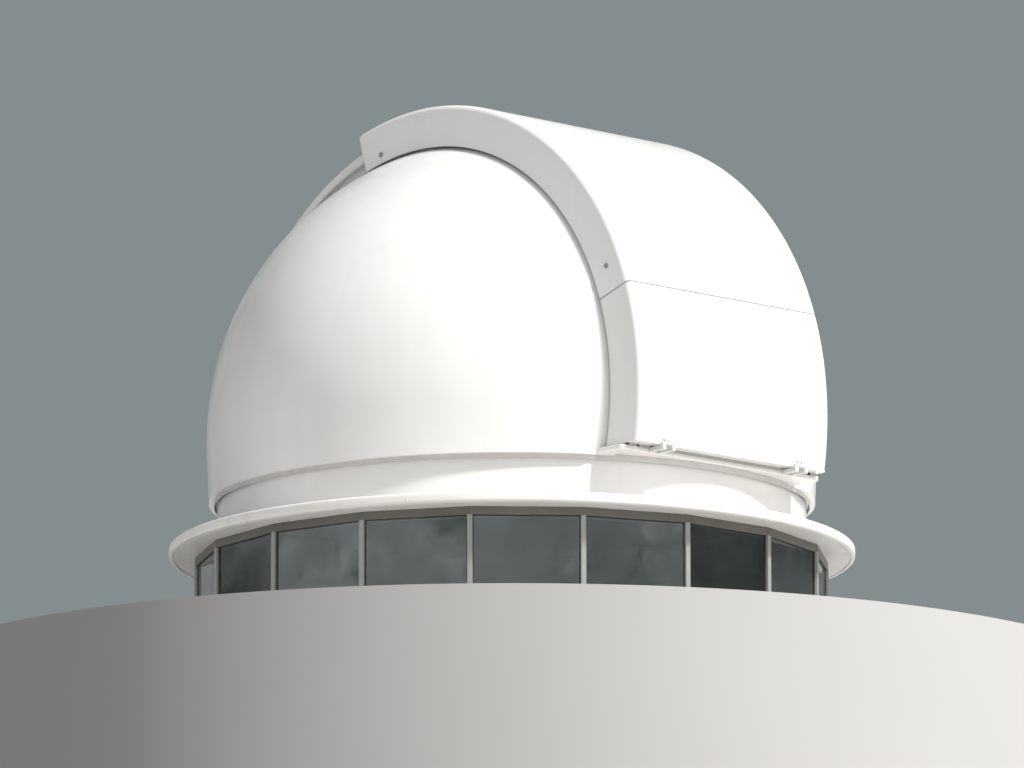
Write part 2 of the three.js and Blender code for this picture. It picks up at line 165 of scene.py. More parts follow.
light = bpy.data.lights.new("key_lamp", "AREA")
light.shape = "DISK"
light.size = KEY_SIZE
light.energy = KEY_POWER
light.color = KEY_COLOUR
stand = bpy.data.objects.new("key_lamp", light)
stand.visible_camera = False
aimed(stand, view_centre + toward(KEY_AZIMUTH, KEY_ELEVATION) * KEY_AWAY)

room = bpy.data.worlds.new("room")
room.use_nodes = True
tree = room.node_tree
tree.nodes.clear()
direction = tree.nodes.new("ShaderNodeTexCoord")
split = tree.nodes.new("ShaderNodeSeparateXYZ")
tree.links.new(direction.outputs["Generated"], split.inputs[0])
seen = tree.nodes.new("ShaderNodeLightPath")
glow = tree.nodes.new("ShaderNodeBackground")
world_out = tree.nodes.new("ShaderNodeOutputWorld")


def looking(side):
    """How squarely a direction looks at one side of the room, from 1 down to -1."""
    beside = tree.nodes.new("ShaderNodeVectorMath")
    beside.operation = "DOT_PRODUCT"
    beside.inputs[1].default_value = toward(*side)
    tree.links.new(direction.outputs["Generated"], beside.inputs[0])
    return beside.outputs["Value"]


upward = ramp(tree, split.outputs["Z"], SIDE_ENDS, TOP_BEGINS)
shade = blended(tree, upward, ROOM_SIDE, ROOM_TOP)
for side, power, colour in ((RIGHT_SIDE, RIGHT_POWER, ROOM_RIGHT), (NEAR_SIDE, NEAR_POWER, ROOM_NEAR)):
    pale = combined(tree, "POWER", ramp(tree, looking(side), 0.0, 1.0), power)
    shade = blended(tree, pale, shade, colour)
patches = set_inputs(tree.nodes.new("ShaderNodeTexNoise"), Scale=18.0, Detail=5.0, Roughness=0.86)
tree.links.new(direction.outputs["Generated"], patches.inputs["Vector"])
mirrored = ramp(tree, patches.outputs["Fac"], PATCH_LOW, PATCH_HIGH)
mirrored = blended(tree, mirrored, MIRROR_DARK, MIRROR_PALE)
near = ramp(tree, looking(NEAR_SIDE), low=-0.2, high=0.4, to_low=0.3)
mirrored = blended(tree, near, BLACK, mirrored)
shade = blended(tree, seen.outputs["Is Glossy Ray"], shade, mirrored)
tree.links.new(blended(tree, seen.outputs["Is Camera Ray"], shade, BACKDROP), glow.inputs["Color"])
tree.links.new(glow.outputs[0], world_out.inputs["Surface"])
bpy.context.scene.world = room


# Floor. A wide pale floor is seen only from above, so that the view from below looks past it.
# A round pale plinth just under it hides the drum's foot from below.
FLOOR_PALE = (0.56, 0.555, 0.54, 1.0)
FLOOR_PALER = (0.61, 0.605, 0.59, 1.0)
FLOOR_SIZE = 120.0
PLINTH_RADIUS = 3.05
PLINTH_DEPTH = 3.0
PLINTH_UNDER = 0.0015                # how far the plinth's top lies under the floor


def new_material(name, **values):
    """A material with a Principled shader, its node tree, and the shader."""
    material = bpy.data.materials.new(name)
    material.use_nodes = True
    return material, material.node_tree, set_inputs(material.node_tree.nodes["Principled BSDF"], **values)


def new_object(name, bm, *materials):
    mesh = bpy.data.meshes.new(name)
    bm.to_mesh(mesh)
    bm.free()
    for material in materials:
        mesh.materials.append(material)
    thing = bpy.data.objects.new(name, mesh)
    bpy.context.scene.collection.objects.link(thing)
    return thing


def noise(tree, scale, stretch=(1, 1, 1), detail=4.0, roughness=0.55):
    """Noise in the object's own coordinates, drawn out along an axis by a small stretch value."""
    place = tree.nodes.new("ShaderNodeTexCoord")
    mapping = tree.nodes.new("ShaderNodeMapping")
    texture = set_inputs(tree.nodes.new("ShaderNodeTexNoise"), Detail=detail, Roughness=roughness)
    feed(tree, mapping.inputs["Scale"], stretch)
    feed(tree, texture.inputs["Scale"], scale)
    tree.links.new(place.outputs["Object"], mapping.inputs["Vector"])
    tree.links.new(mapping.outputs[0], texture.inputs["Vector"])
    return texture.outputs["Fac"]


floor_paint, tree, shader = new_material("floor_paint", Roughness=0.85)
clouds = noise(tree, scale=0.9, detail=5.0)
tree.links.new(blended(tree, clouds, FLOOR_PALE, FLOOR_PALER), shader.inputs["Base Color"])
back = tree.nodes.new("ShaderNodeNewGeometry")
clear = tree.nodes.new("ShaderNodeBsdfTransparent")
pick = tree.nodes.new("ShaderNodeMixShader")
tree.links.new(back.outputs["Backfacing"], pick.inputs["Fac"])
tree.links.new(shader.outputs[0], pick.inputs[1])
tree.links.new(clear.outputs[0], pick.inputs[2])
tree.links.new(pick.outputs[0], tree.nodes["Material Output"].inputs["Surface"])

bm = bmesh.new()
bmesh.ops.create_grid(bm, x_segments=1, y_segments=1, size=FLOOR_SIZE / 2)
new_object("floor", bm, floor_paint)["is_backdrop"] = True

bm = bmesh.new()
bmesh.ops.create_cone(
    bm, cap_ends=True, segments=256, radius1=PLINTH_RADIUS, radius2=PLINTH_RADIUS, depth=PLINTH_DEPTH,
    matrix=Matrix.Translation((0, 0, -PLINTH_DEPTH / 2 - PLINTH_UNDER)),
)
plinth = new_object("plinth", bm, floor_paint)
plinth.data.shade_smooth()
plinth.data.set_sharp_from_angle(angle=radians(30))
plinth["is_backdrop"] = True


# Curb. A timber upstand under the windows, clad outside in folded grey sheet metal, with a sill that
# throws the rain clear. The sheets meet in a standing seam at each corner of the eighteen-sided drum.
BAYS = 18
BAY = 360.0 / BAYS
CORNER = -100.0                      # where the drum's first corner stands, counted from the right side
TO_CORNER = 1 / cos(radians(BAY / 2))
CURB_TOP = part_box("window_frame_1")[0].z
CURB_IN = 1.457
CURB_OUT = 1.534
SILL_OUT = 1.562
FRAME_OUT = 1.529                    # face of the window frame, where the sill's slope begins
SEAM_RISE = 0.020
SEAM_THICK = 0.007
ZINC = (0.235, 0.245, 0.262, 1.0)
ZINC_PALE = (0.36, 0.375, 0.395, 1.0)
ZINC_DIRT = (0.20, 0.19, 0.17, 1.0)
TIMBER = (0.42, 0.29, 0.17, 1.0)
TIMBER_DARK = (0.27, 0.17, 0.09, 1.0)
FOLD = 0.002                         # how far the cladding's folded foot stands out
FOLD_HIGH = 0.011
SILL_FALL = 0.017                    # from the window frame down to the sill's edge
SILL_EDGE = 0.007                    # height of the sill's folded edge
FIT_GAP = 0.0003                     # between two pieces that are fixed to each other, as in the solids


def node_group(name, inputs, outputs):
    """An empty node group with its sockets. inputs and outputs give each socket's name and kind."""
    kinds = {"colour": "NodeSocketColor", "value": "NodeSocketFloat", "vector": "NodeSocketVector"}
    group = bpy.data.node_groups.new(name, "ShaderNodeTree")
    for label, kind in inputs.items():
        group.interface.new_socket(label, in_out="INPUT", socket_type=kinds[kind])
    for label, kind in outputs.items():
        group.interface.new_socket(label, in_out="OUTPUT", socket_type=kinds[kind])
    return group, group.nodes.new("NodeGroupInput").outputs, group.nodes.new("NodeGroupOutput").inputs


# Two colours in soft patches, as on a weathered or hand-made surface.
mottle, given, result = node_group(
    "mottle",
    {"First": "colour", "Second": "colour", "Scale": "value", "Stretch": "vector",
     "Low": "value", "High": "value"},
    {"Color": "colour", "Mask": "value"},
)
patches = noise(mottle, given["Scale"], given["Stretch"], detail=6.0, roughness=0.62)
patches = ramp(mottle, patches, given["Low"], given["High"])
mottle.links.new(blended(mottle, patches, given["First"], given["Second"]), result["Color"])
mottle.links.new(patches, result["Mask"])

# Rain carries dust down in soft upright streaks, and dust lies on what faces up.
weather, given, result = node_group(
    "weather",
    {"Clean": "colour", "Dirt": "colour", "Streaks": "value", "Dust": "value"},
    {"Color": "colour", "Mask": "value"},
)
runs = ramp(weather, noise(weather, scale=9.0, stretch=(1, 1, 0.07), detail=5.0), low=0.52, high=0.78)
stretches = ramp(weather, noise(weather, scale=1.7), low=0.38, high=0.70)
streaks = combined(weather, "MULTIPLY", runs, stretches)
streaks = combined(weather, "MULTIPLY", streaks, given["Streaks"])
facing = weather.nodes.new("ShaderNodeSeparateXYZ")
surface = weather.nodes.new("ShaderNodeNewGeometry")
weather.links.new(surface.outputs["Normal"], facing.inputs[0])
upturned = ramp(weather, facing.outputs["Z"], low=0.25, high=1.0)
settled = ramp(weather, noise(weather, scale=4.5, detail=7.0, roughness=0.65), low=0.40, high=0.72)
dust = combined(weather, "MULTIPLY", upturned, settled)
dust = combined(weather, "MULTIPLY", dust, given["Dust"])
dirty = combined(weather, "MAXIMUM", streaks, dust)
weather.links.new(blended(weather, dirty, given["Clean"], given["Dirt"]), result["Color"])
weather.links.new(dirty, result["Mask"])


def placed(tree, group, **values):
    """A node group in a material, with its own value or another node's output for each input."""
    node = tree.nodes.new("ShaderNodeGroup")
    node.node_tree = group
    for name, value in values.items():
        feed(tree, node.inputs[name], value)
    return node.outputs["Color"], node.outputs["Mask"]


def bump(tree, shader, *layers):
    """Bump layers, coarse first: each is a height and its depth in metres."""
    before = None
    for height, depth in layers:
        node = set_inputs(tree.nodes.new("ShaderNodeBump"), Strength=1.0, Distance=depth)
        tree.links.new(height, node.inputs["Height"])
        if before:
            tree.links.new(before.outputs[0], node.inputs["Normal"])
        before = node
    tree.links.new(before.outputs[0], shader.inputs["Normal"])


def outdoor_finish(name, pair, scale, dirt, streaks, dust, rough, stretch=(1, 1, 1), **values):
    """A weathered finish of two near colours. rough is its roughness where clean and where dirty."""
    material, tree, shader = new_material(name, **values)
    clean, patches = placed(
        tree, mottle, First=pair[0], Second=pair[1], Scale=scale, Stretch=stretch, Low=0.33, High=0.69)
    colour, mask = placed(tree, weather, Clean=clean, Dirt=dirt, Streaks=streaks, Dust=dust)
    tree.links.new(colour, shader.inputs["Base Color"])
    tree.links.new(ramp(tree, mask, 0.0, 1.0, *rough), shader.inputs["Roughness"])
    return material, tree, shader


def plain_finish(name, pair, scale, rough, depth, stretch=(1, 1, 1), **values):
    """A finish in patches of two colours, whose roughness and relief, in metres, vary with them."""
    material, tree, shader = new_material(name, **values)
    colour, mask = placed(
        tree, mottle, First=pair[0], Second=pair[1], Scale=scale, Stretch=stretch, Low=0.32, High=0.70)
    tree.links.new(colour, shader.inputs["Base Color"])
    tree.links.new(ramp(tree, mask, 0.0, 1.0, *rough), shader.inputs["Roughness"])
    bump(tree, shader, (mask, depth))
    return material


def turned(outline, start=CORNER, span=360.0, steps=BAYS, to_corner=TO_CORNER):
    """A closed outline in radius and height, turned about the drum's upright axis."""
    bm = bmesh.new()
    a = radians(start)
    verts = [bm.verts.new((r * to_corner * cos(a), r * to_corner * sin(a), z)) for r, z in outline]
    whole = span >= 360.0
    if whole:
        for first, second in zip(verts, verts[1:] + verts[:1]):
            bm.edges.new((first, second))
    else:
        bm.faces.new(verts)
    bmesh.ops.spin(
        bm, geom=bm.verts[:] + bm.edges[:] + bm.faces[:], cent=(0, 0, 0), axis=(0, 0, 1),
        angle=radians(span), steps=steps, use_merge=whole,
    )
    bmesh.ops.recalc_face_normals(bm, faces=bm.faces[:])
    return bm


def coated(made, index):
    """Gives what an operator has just made one of its object's materials."""
    for face in {face for vert in made["verts"] for face in vert.link_faces}:
        face.material_index = index


def block(bm, corner, opposite, index=0):
    """A box between two opposite corners, added to a mesh under construction."""
    size = [abs(b - a) for a, b in zip(corner, opposite)]
    middle = (Vector(corner) + Vector(opposite)) / 2
    place = Matrix.Translation(middle) @ Matrix.Diagonal((*size, 1.0))
    coated(bmesh.ops.create_cube(bm, size=1.0, matrix=place), index)


def turn_round(bm, azimuth):
    turn = Matrix.Rotation(radians(azimuth), 3, "Z")
    bmesh.ops.rotate(bm, verts=bm.verts[:], cent=(0, 0, 0), matrix=turn)


def repeat_round(bm, count, step):
    """Copies what is made so far round the drum's axis, count places in all, a step of degrees apart."""
    bmesh.ops.spin(
        bm, geom=bm.verts[:] + bm.edges[:] + bm.faces[:], cent=(0, 0, 0), axis=(0, 0, 1),
        angle=radians(step * (count - 1)), steps=count - 1, use_duplicate=True,
    )


def lined(bm):
    """Gives the faces that look towards the drum's axis the second material."""
    for face in bm.faces:
        middle = face.calc_center_median()
        inward = face.normal.x * middle.x + face.normal.y * middle.y < -0.5
        face.material_index = 1 if inward else 0


def eased(thing, width, angle=35.0, segments=2):
    """Breaks the sharp edges of a piece and shades it smooth."""
    thing.data.shade_smooth()
    edge = thing.modifiers.new("eased_edges", "BEVEL")
    edge.width = width
    edge.segments = segments
    edge.limit_method = "ANGLE"
    edge.angle_limit = radians(angle)
    edge.harden_normals = True
    edge.use_clamp_overlap = True
    return thing


def fitted(thing, body, slot, *nodes):
    """Hangs a piece on the body it rides on and hides the solids it stands for. slot is not used."""
    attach(thing, body)
    if nodes:
        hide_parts(*nodes)
    return thing


sheet_zinc, tree, shader = outdoor_finish(
    "sheet_zinc", (ZINC, ZINC_PALE), scale=5.0, stretch=(1, 1, 0.35), dirt=ZINC_DIRT, streaks=0.5, dust=0.5,
    rough=(0.42, 0.70), Metallic=0.85,
)
dents = noise(tree, scale=6.0, stretch=(1, 1, 0.5), detail=2.0)
bump(tree, shader, (dents, 0.0012), (noise(tree, scale=300.0, detail=2.0), 0.00005))
timber = plain_finish(
    "timber", (TIMBER, TIMBER_DARK), scale=14.0, stretch=(0.6, 0.6, 9.0), rough=(0.55, 0.75), depth=0.0004)

top = CURB_TOP - 2 * FIT_GAP
sill_edge = CURB_TOP - SILL_FALL
bm = turned([
    (CURB_IN, 0.0), (CURB_OUT - 1.5 * FOLD, 0.0), (CURB_OUT + FOLD, 2 * FOLD),
    (CURB_OUT + FOLD, FOLD_HIGH), (CURB_OUT, FOLD_HIGH + FOLD), (CURB_OUT, sill_edge - 2.5 * FOLD),
    (SILL_OUT - 2 * FOLD, sill_edge - SILL_EDGE - 2 * FOLD), (SILL_OUT, sill_edge - SILL_EDGE),
    (SILL_OUT, sill_edge), (FRAME_OUT, top), (CURB_IN, top),
])
lined(bm)
curb = eased(new_object("curb", bm, sheet_zinc, timber), width=0.0015, angle=12.0)
fitted(curb, "drum", "zinc", "curb_1", "curb_2", "curb_3")

bm = bmesh.new()
rib_foot = CURB_OUT * TO_CORNER - 2 * FOLD
rib_low = FOLD_HIGH + 1.5 * FOLD
rib_high = sill_edge - 2 * SILL_EDGE
block(bm, (rib_foot, -SEAM_THICK / 2, rib_low), (rib_foot + SEAM_RISE, SEAM_THICK / 2, rib_high))
turn_round(bm, CORNER)
repeat_round(bm, BAYS, BAY)
fitted(eased(new_object("curb_seams", bm, sheet_zinc), width=0.0025, segments=3), "drum", "zinc")


# Window frame. Pale grey coated aluminium: a sill rail on the curb, and a slim post at each corner,
# made of an inner and an outer half that clamp the panes. The head rail under the eave takes a darker
# coat, which is painted shade: the shadow that the eave casts on it.
FRAME_IN = 1.481
PANE_IN = 1.493
PANE_OUT = 1.517
SILL_RAIL = 0.045
SILL_SLOPE = 0.009
HEAD_RAIL = 0.040
HEAD_EDGE = 0.002
POST = 0.026
POST_PROUD = 0.003
POST_TONGUE = 0.004
EAVE_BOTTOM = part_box("eave_ring_1")[0].z
PANE_LOW = CURB_TOP + SILL_RAIL
PANE_HIGH = EAVE_BOTTOM - HEAD_RAIL
COATING = (0.30, 0.31, 0.30, 1.0)
COATING_PALE = (0.37, 0.38, 0.365, 1.0)
# The head rail's darker coat is painted shade, the shadow that the eave casts on it.
PAINTED_SHADE = (0.115, 0.11, 0.095, 1.0)
PAINTED_SHADE_PALE = (0.17, 0.16, 0.14, 1.0)
FRAME_DIRT = (0.24, 0.23, 0.20, 1.0)
PAINTED_SHADE_DIRT = (0.17, 0.165, 0.15, 1.0)
RUBBER = (0.012, 0.012, 0.013, 1.0)
RUBBER_WORN = (0.035, 0.035, 0.034, 1.0)
GASKET = 0.004
SUNK = 0.001                         # how far a piece is set into its neighbour, so that no light shows
HAIRLINE = 0.0002                    # keeps two faces out of one plane

frame_coat, tree, shader = outdoor_finish(
    "frame_coat", (COATING, COATING_PALE), scale=3.0, stretch=(1, 1, 0.5), dirt=FRAME_DIRT, streaks=0.4,
    dust=0.4, rough=(0.36, 0.60), Metallic=0.15,
)
bump(tree, shader, (noise(tree, scale=480.0, detail=2.0), 0.00006))
rubber = plain_finish("rubber", (RUBBER, RUBBER_WORN), scale=25.0, rough=(0.55, 0.8), depth=0.0001)
# Painted shade: the head rail's coat, darker than the frame's own coating.
painted_shade_coat = outdoor_finish(
    "painted_shade_coat", (PAINTED_SHADE, PAINTED_SHADE_PALE), scale=3.0, stretch=(1, 1, 0.5), dirt=PAINTED_SHADE_DIRT, streaks=0.3,
    dust=0.3, rough=(0.40, 0.62), Metallic=0.2,
)[0]

sill_rail = [
    (FRAME_IN, CURB_TOP), (FRAME_OUT, CURB_TOP), (FRAME_OUT, PANE_LOW - SILL_SLOPE),
    (PANE_OUT + SUNK, PANE_LOW), (FRAME_IN, PANE_LOW),
]
head_top = EAVE_BOTTOM - 2 * HAIRLINE
head_rail = [
    (FRAME_IN, PANE_HIGH), (FRAME_OUT - HEAD_EDGE, PANE_HIGH), (FRAME_OUT, PANE_HIGH + 1.5 * HEAD_EDGE),
    (FRAME_OUT, head_top), (FRAME_IN, head_top),
]
for name, outline, coat in (("sill_rail", sill_rail, frame_coat), ("head_rail", head_rail, painted_shade_coat)):
    rail = eased(new_object(name, turned(outline), coat), width=0.0015, angle=12.0)
    fitted(rail, "drum", "frame_grey", "window_frame_1", "window_frame_2", "window_frame_3")

bm = bmesh.new()
face_in = PANE_IN * TO_CORNER
face_out = PANE_OUT * TO_CORNER
cap_out = FRAME_OUT * TO_CORNER + POST_PROUD
post_foot = PANE_LOW - SILL_SLOPE - POST_PROUD
block(bm, (face_out - 2 * SUNK, -POST / 2, post_foot), (cap_out, POST / 2, PANE_HIGH + 2 * SUNK))
block(bm, (FRAME_IN * TO_CORNER, -POST / 2, PANE_LOW), (face_in + SUNK, POST / 2, PANE_HIGH))
block(bm, (face_in, -POST_TONGUE, PANE_LOW), (face_out, POST_TONGUE, PANE_HIGH))
turn_round(bm, CORNER)
repeat_round(bm, BAYS, BAY)
posts = eased(new_object("window_posts", bm, frame_coat), width=0.004, segments=3)
fitted(posts, "drum", "frame_grey", "window_frame_1", "window_frame_2", "window_frame_3")

bm = bmesh.new()
pane_half = PANE_OUT * tan(radians(BAY / 2))
clear_half = pane_half - POST / 2 - SUNK
for x0, z0, x1, z1 in (
    (-pane_half, PANE_LOW - 2 * SUNK, pane_half, PANE_LOW + GASKET),
    (-pane_half, PANE_HIGH - GASKET, pane_half, PANE_HIGH + 2 * SUNK),
    (-pane_half, PANE_LOW, -clear_half + GASKET, PANE_HIGH),
    (clear_half - GASKET, PANE_LOW, pane_half, PANE_HIGH),
):
    for face in (PANE_OUT, PANE_IN):
        block(bm, (x0, -face - GASKET / 2, z0), (x1, -face + GASKET / 2, z1))
repeat_round(bm, BAYS, BAY)
fitted(eased(new_object("pane_gaskets", bm, rubber), width=0.0008), "drum", "nylon")


# Glazing. Each bay holds one sealed double pane of grey-green solar glass, 24 mm thick, two sheets
# with a spacer bar between them. The panes are flat and meet behind the posts.
SHEET = 0.006
SPACER = 0.012
GLASS_TINT = (0.30, 0.36, 0.33, 1.0)
GLASS_CLEAN = 0.012                  # roughness where the film of dust is thinnest and thickest
GLASS_DUSTY = 0.085
SPACER_DULL = (0.30, 0.31, 0.32, 1.0)
SPACER_PALE = (0.42, 0.43, 0.44, 1.0)
PANE_EDGE = 0.006                    # from the bay's corner to the outer sheet's edge
SHEET_STEP = 0.004                   # the inner sheet is smaller by this

solar_glass, tree, shader = new_material(
    "solar_glass", Base_Color=GLASS_TINT, IOR=1.75, Transmission_Weight=1.0)
film = noise(tree, scale=5.0, stretch=(1, 1, 0.6), detail=7.0, roughness=0.65)
film = ramp(tree, film, low=0.45, high=0.85, to_low=GLASS_CLEAN, to_high=GLASS_DUSTY)
tree.links.new(film, shader.inputs["Roughness"])
bump(tree, shader, (noise(tree, scale=2.3, detail=1.0), 0.0010))
spacer_metal = plain_finish(
    "spacer_metal", (SPACER_DULL, SPACER_PALE), scale=60.0, rough=(0.32, 0.5), depth=0.0001, Metallic=0.9)

edge = pane_half - PANE_EDGE
inner_edge = edge - SHEET_STEP
low = PANE_LOW + SUNK
high = PANE_HIGH - SUNK
gap_out = -PANE_OUT + SHEET + FIT_GAP
gap_in = -PANE_IN - SHEET - FIT_GAP
for unit in range(6):
    bm = bmesh.new()
    block(bm, (-edge, -PANE_OUT, low), (edge, -PANE_OUT + SHEET, high))
    block(bm, (-inner_edge, -PANE_IN - SHEET, low), (inner_edge, -PANE_IN, high))
    for x0, z0, x1, z1 in (
        (-inner_edge, low, inner_edge, low + SPACER),
        (-inner_edge, high - SPACER, inner_edge, high),
        (-inner_edge, low + SPACER, -inner_edge + SPACER, high - SPACER),
        (inner_edge - SPACER, low + SPACER, inner_edge, high - SPACER),
    ):
        block(bm, (x0, gap_out, z0), (x1, gap_in, z1), index=1)
    turn_round(bm, 3 * BAY * unit)
    repeat_round(bm, 3, BAY)
    panes = new_object(f"panes_{unit + 1}", bm, solar_glass, spacer_metal)
    fitted(panes, "drum", "pane_glass", f"glazing_{unit + 1}")


# Eave. A thick white-painted board ring in three parts lies on the window heads and carries the
# dome. Its edge is rounded, and a groove under it makes the rain drip clear of the glass.
EAVE_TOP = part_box("eave_ring_1")[1].z
EAVE_IN = 1.370
EAVE_OUT = 1.681
EAVE_ROUND = 0.012
DRIP_IN = 0.030
DRIP_WIDE = 0.008
DRIP_DEEP = 0.006
EAVE_WHITE = (0.90, 0.885, 0.855, 1.0)
EAVE_CREAM = (0.85, 0.83, 0.785, 1.0)
EAVE_DIRT = (0.33, 0.31, 0.26, 1.0)
EAVE_START = -30.0
THIRD = 120.0                        # what each part of a ring in three parts spans
JOINT = 0.01                         # half the joint between two parts


def arc(middle, radius, start, end, steps):
    """Points on an arc in an outline, with angles in degrees."""
    angles = [radians(start + (end - start) * i / steps) for i in range(steps + 1)]
    return [(middle[0] + radius * cos(a), middle[1] + radius * sin(a)) for a in angles]


board_paint, tree, shader = outdoor_finish(
    "board_paint", (EAVE_WHITE, EAVE_CREAM), scale=2.2, dirt=EAVE_DIRT, streaks=0.35, dust=0.25,
    rough=(0.42, 0.70),
)
bump(tree, shader, (noise(tree, scale=26.0), 0.0003), (noise(tree, scale=380.0, detail=2.0), 0.0001))

drip = EAVE_OUT - DRIP_IN
eave_outline = [
    (EAVE_IN, EAVE_BOTTOM), (drip, EAVE_BOTTOM), (drip, EAVE_BOTTOM + DRIP_DEEP),
    (drip + DRIP_WIDE, EAVE_BOTTOM + DRIP_DEEP), (drip + DRIP_WIDE, EAVE_BOTTOM),
    *arc((EAVE_OUT - EAVE_ROUND, EAVE_BOTTOM + EAVE_ROUND), EAVE_ROUND, -90, 0, 5),
    *arc((EAVE_OUT - EAVE_ROUND, EAVE_TOP - EAVE_ROUND), EAVE_ROUND, 0, 90, 5),
    (EAVE_IN, EAVE_TOP),
]
for part in range(3):
    start = EAVE_START + THIRD * part + JOINT
    bm = turned(eave_outline, start, THIRD - 2 * JOINT, steps=80, to_corner=1.0)
    eave = eased(new_object(f"eave_{part + 1}", bm, board_paint), width=0.0012, angle=30.0)
    fitted(eave, "drum", "eave_white", f"eave_ring_{part + 1}")


# Base ring. The fixed glass-fibre ring on the eave board: an upright skirt, set back under the dome's
# edge, with a lip turned in at its top. It is screwed down inside and sealed along its foot outside.
SKIRT_R = 1.445
SKIRT_WALL = 0.010
SKIRT_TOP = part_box("base_ring_1")[1].z
SKIRT_ROUND = 0.004
SKIRT_LIP = 0.009
SKIRT_LIP_IN = 1.408
FOOT_IN = 1.375
FOOT_FILLET = 0.012
SEAL = 0.007
SCREW_R = 0.0065
SCREW_RISE = 0.004
FOOT_SCREWS = 36
BASE_START = 30.0
GELCOAT = (0.86, 0.858, 0.848, 1.0)
GELCOAT_WARM = (0.84, 0.832, 0.812, 1.0)
GELCOAT_DIRT = (0.42, 0.41, 0.37, 1.0)
LAMINATE = (0.46, 0.45, 0.41, 1.0)
LAMINATE_PALE = (0.58, 0.57, 0.53, 1.0)
SEALANT = (0.62, 0.62, 0.60, 1.0)
SEALANT_AGED = (0.52, 0.51, 0.47, 1.0)
GALVANISED = (0.37, 0.38, 0.39, 1.0)
GALVANISED_PALE = (0.52, 0.53, 0.54, 1.0)


def rod(bm, start, end, radius, sides=32, index=0):
    """A round bar or, with six sides, a nut between two points, added to a mesh under construction."""
    start = Vector(start)
    end = Vector(end)
    turn = (end - start).to_track_quat("Z", "Y").to_matrix().to_4x4()
    made = bmesh.ops.create_cone(
        bm, cap_ends=True, segments=sides, radius1=radius, radius2=radius, depth=(end - start).length,
        matrix=Matrix.Translation((start + end) / 2) @ turn,
    )
    coated(made, index)


gelcoat, tree, shader = outdoor_finish(
    "gelcoat", (GELCOAT, GELCOAT_WARM), scale=1.1, dirt=GELCOAT_DIRT, streaks=0.14, dust=0.10,
    rough=(0.24, 0.5), Coat_Weight=0.35, Coat_Roughness=0.07,
)
waves = noise(tree, scale=2.6, detail=1.0)
bump(tree, shader, (waves, 0.0035), (noise(tree, scale=140.0, detail=2.0), 0.00005))
laminate = plain_finish(
    "bare_laminate", (LAMINATE, LAMINATE_PALE), scale=60.0, rough=(0.45, 0.7), depth=0.0006)
sealant = plain_finish("sealant", (SEALANT, SEALANT_AGED), scale=8.0, rough=(0.35, 0.55), depth=0.0008)
galvanised = plain_finish(
    "galvanised_steel", (GALVANISED, GALVANISED_PALE), scale=55.0, rough=(0.32, 0.52), depth=0.0001,
    Metallic=0.9,
)

wall = SKIRT_R - SKIRT_WALL
floor_in = EAVE_TOP + SKIRT_WALL
skirt_outline = [
    (FOOT_IN, EAVE_TOP + FIT_GAP), (SKIRT_R, EAVE_TOP + FIT_GAP),
    *arc((SKIRT_R - SKIRT_ROUND, SKIRT_TOP - SKIRT_ROUND), SKIRT_ROUND, 0, 90, 4),
    (SKIRT_LIP_IN, SKIRT_TOP), (SKIRT_LIP_IN, SKIRT_TOP - SKIRT_LIP), (wall, SKIRT_TOP - SKIRT_LIP),
    *arc((wall - FOOT_FILLET, floor_in + FOOT_FILLET), FOOT_FILLET, 0, -90, 4), (FOOT_IN, floor_in),
]
for part in range(3):
    start = BASE_START + THIRD * part + JOINT
    bm = turned(skirt_outline, start, THIRD - 2 * JOINT, steps=80, to_corner=1.0)
    lined(bm)
    ring = eased(new_object(f"skirt_ring_{part + 1}", bm, gelcoat, laminate), width=0.0012, angle=30.0)
    fitted(ring, "drum", "gelcoat", f"base_ring_{part + 1}")

seal_face = SKIRT_R + HAIRLINE
seal_foot = EAVE_TOP + HAIRLINE
bm = turned([
    (seal_face, seal_foot), (seal_face + SEAL, seal_foot),
    *arc((seal_face + SEAL, seal_foot + SEAL), SEAL, 255, 195, 3), (seal_face, seal_foot + SEAL),
], start=0.0, steps=180, to_corner=1.0)
fitted(eased(new_object("foot_seal", bm, sealant), width=0.0008, angle=50.0), "drum", "gelcoat")

bm = bmesh.new()
screw_at = (FOOT_IN + wall) / 2
rod(bm, (screw_at, 0, floor_in - SUNK), (screw_at, 0, floor_in + SCREW_RISE), SCREW_R, sides=20)
turn_round(bm, 180.0 / FOOT_SCREWS)
repeat_round(bm, FOOT_SCREWS, 360.0 / FOOT_SCREWS)
fitted(eased(new_object("foot_screws", bm, galvanised), width=0.002, segments=3), "drum", "alloy")


# Dome rollers. Six nylon wheels on short axles stand inside the base ring, each on a galvanised
# bracket bolted to its wall, and the dome's running ring turns on them.
ROLLERS = 6
ROLLER_R = 0.035
ROLLER_WIDE = 0.030
ROLLER_AT = 1.375
ROLLER_GAP = 0.015                   # between the wheel and its bracket
BRACKET_HALF = 0.035
BRACKET_DROP = 0.045
BRACKET_PLATE = 0.006
BRACKET_TURN = 3.0                   # sets the bracket's flat back clear of the round wall
NUT_R = 0.0105
AXLE_R = 0.010
BOLT_R = 0.0075
BOLT_HEAD = 0.005
BOLT_INSET = 0.012                   # from the plate's side and foot to the bolts
BOLT_UP = 0.016
ROLLER_HUB = 0.62                    # the hub's share of the wheel's radius
HUB_PROUD = 0.002
NUT_THICK = 0.008
AXLE_END = 0.012                     # how far the axle's thread stands out of the wheel
THREAD_SHARE = 0.6
NYLON = (0.022, 0.022, 0.024, 1.0)
NYLON_WORN = (0.07, 0.07, 0.068, 1.0)

nylon = plain_finish("nylon", (NYLON, NYLON_WORN), scale=45.0, rough=(0.38, 0.62), depth=0.00015)

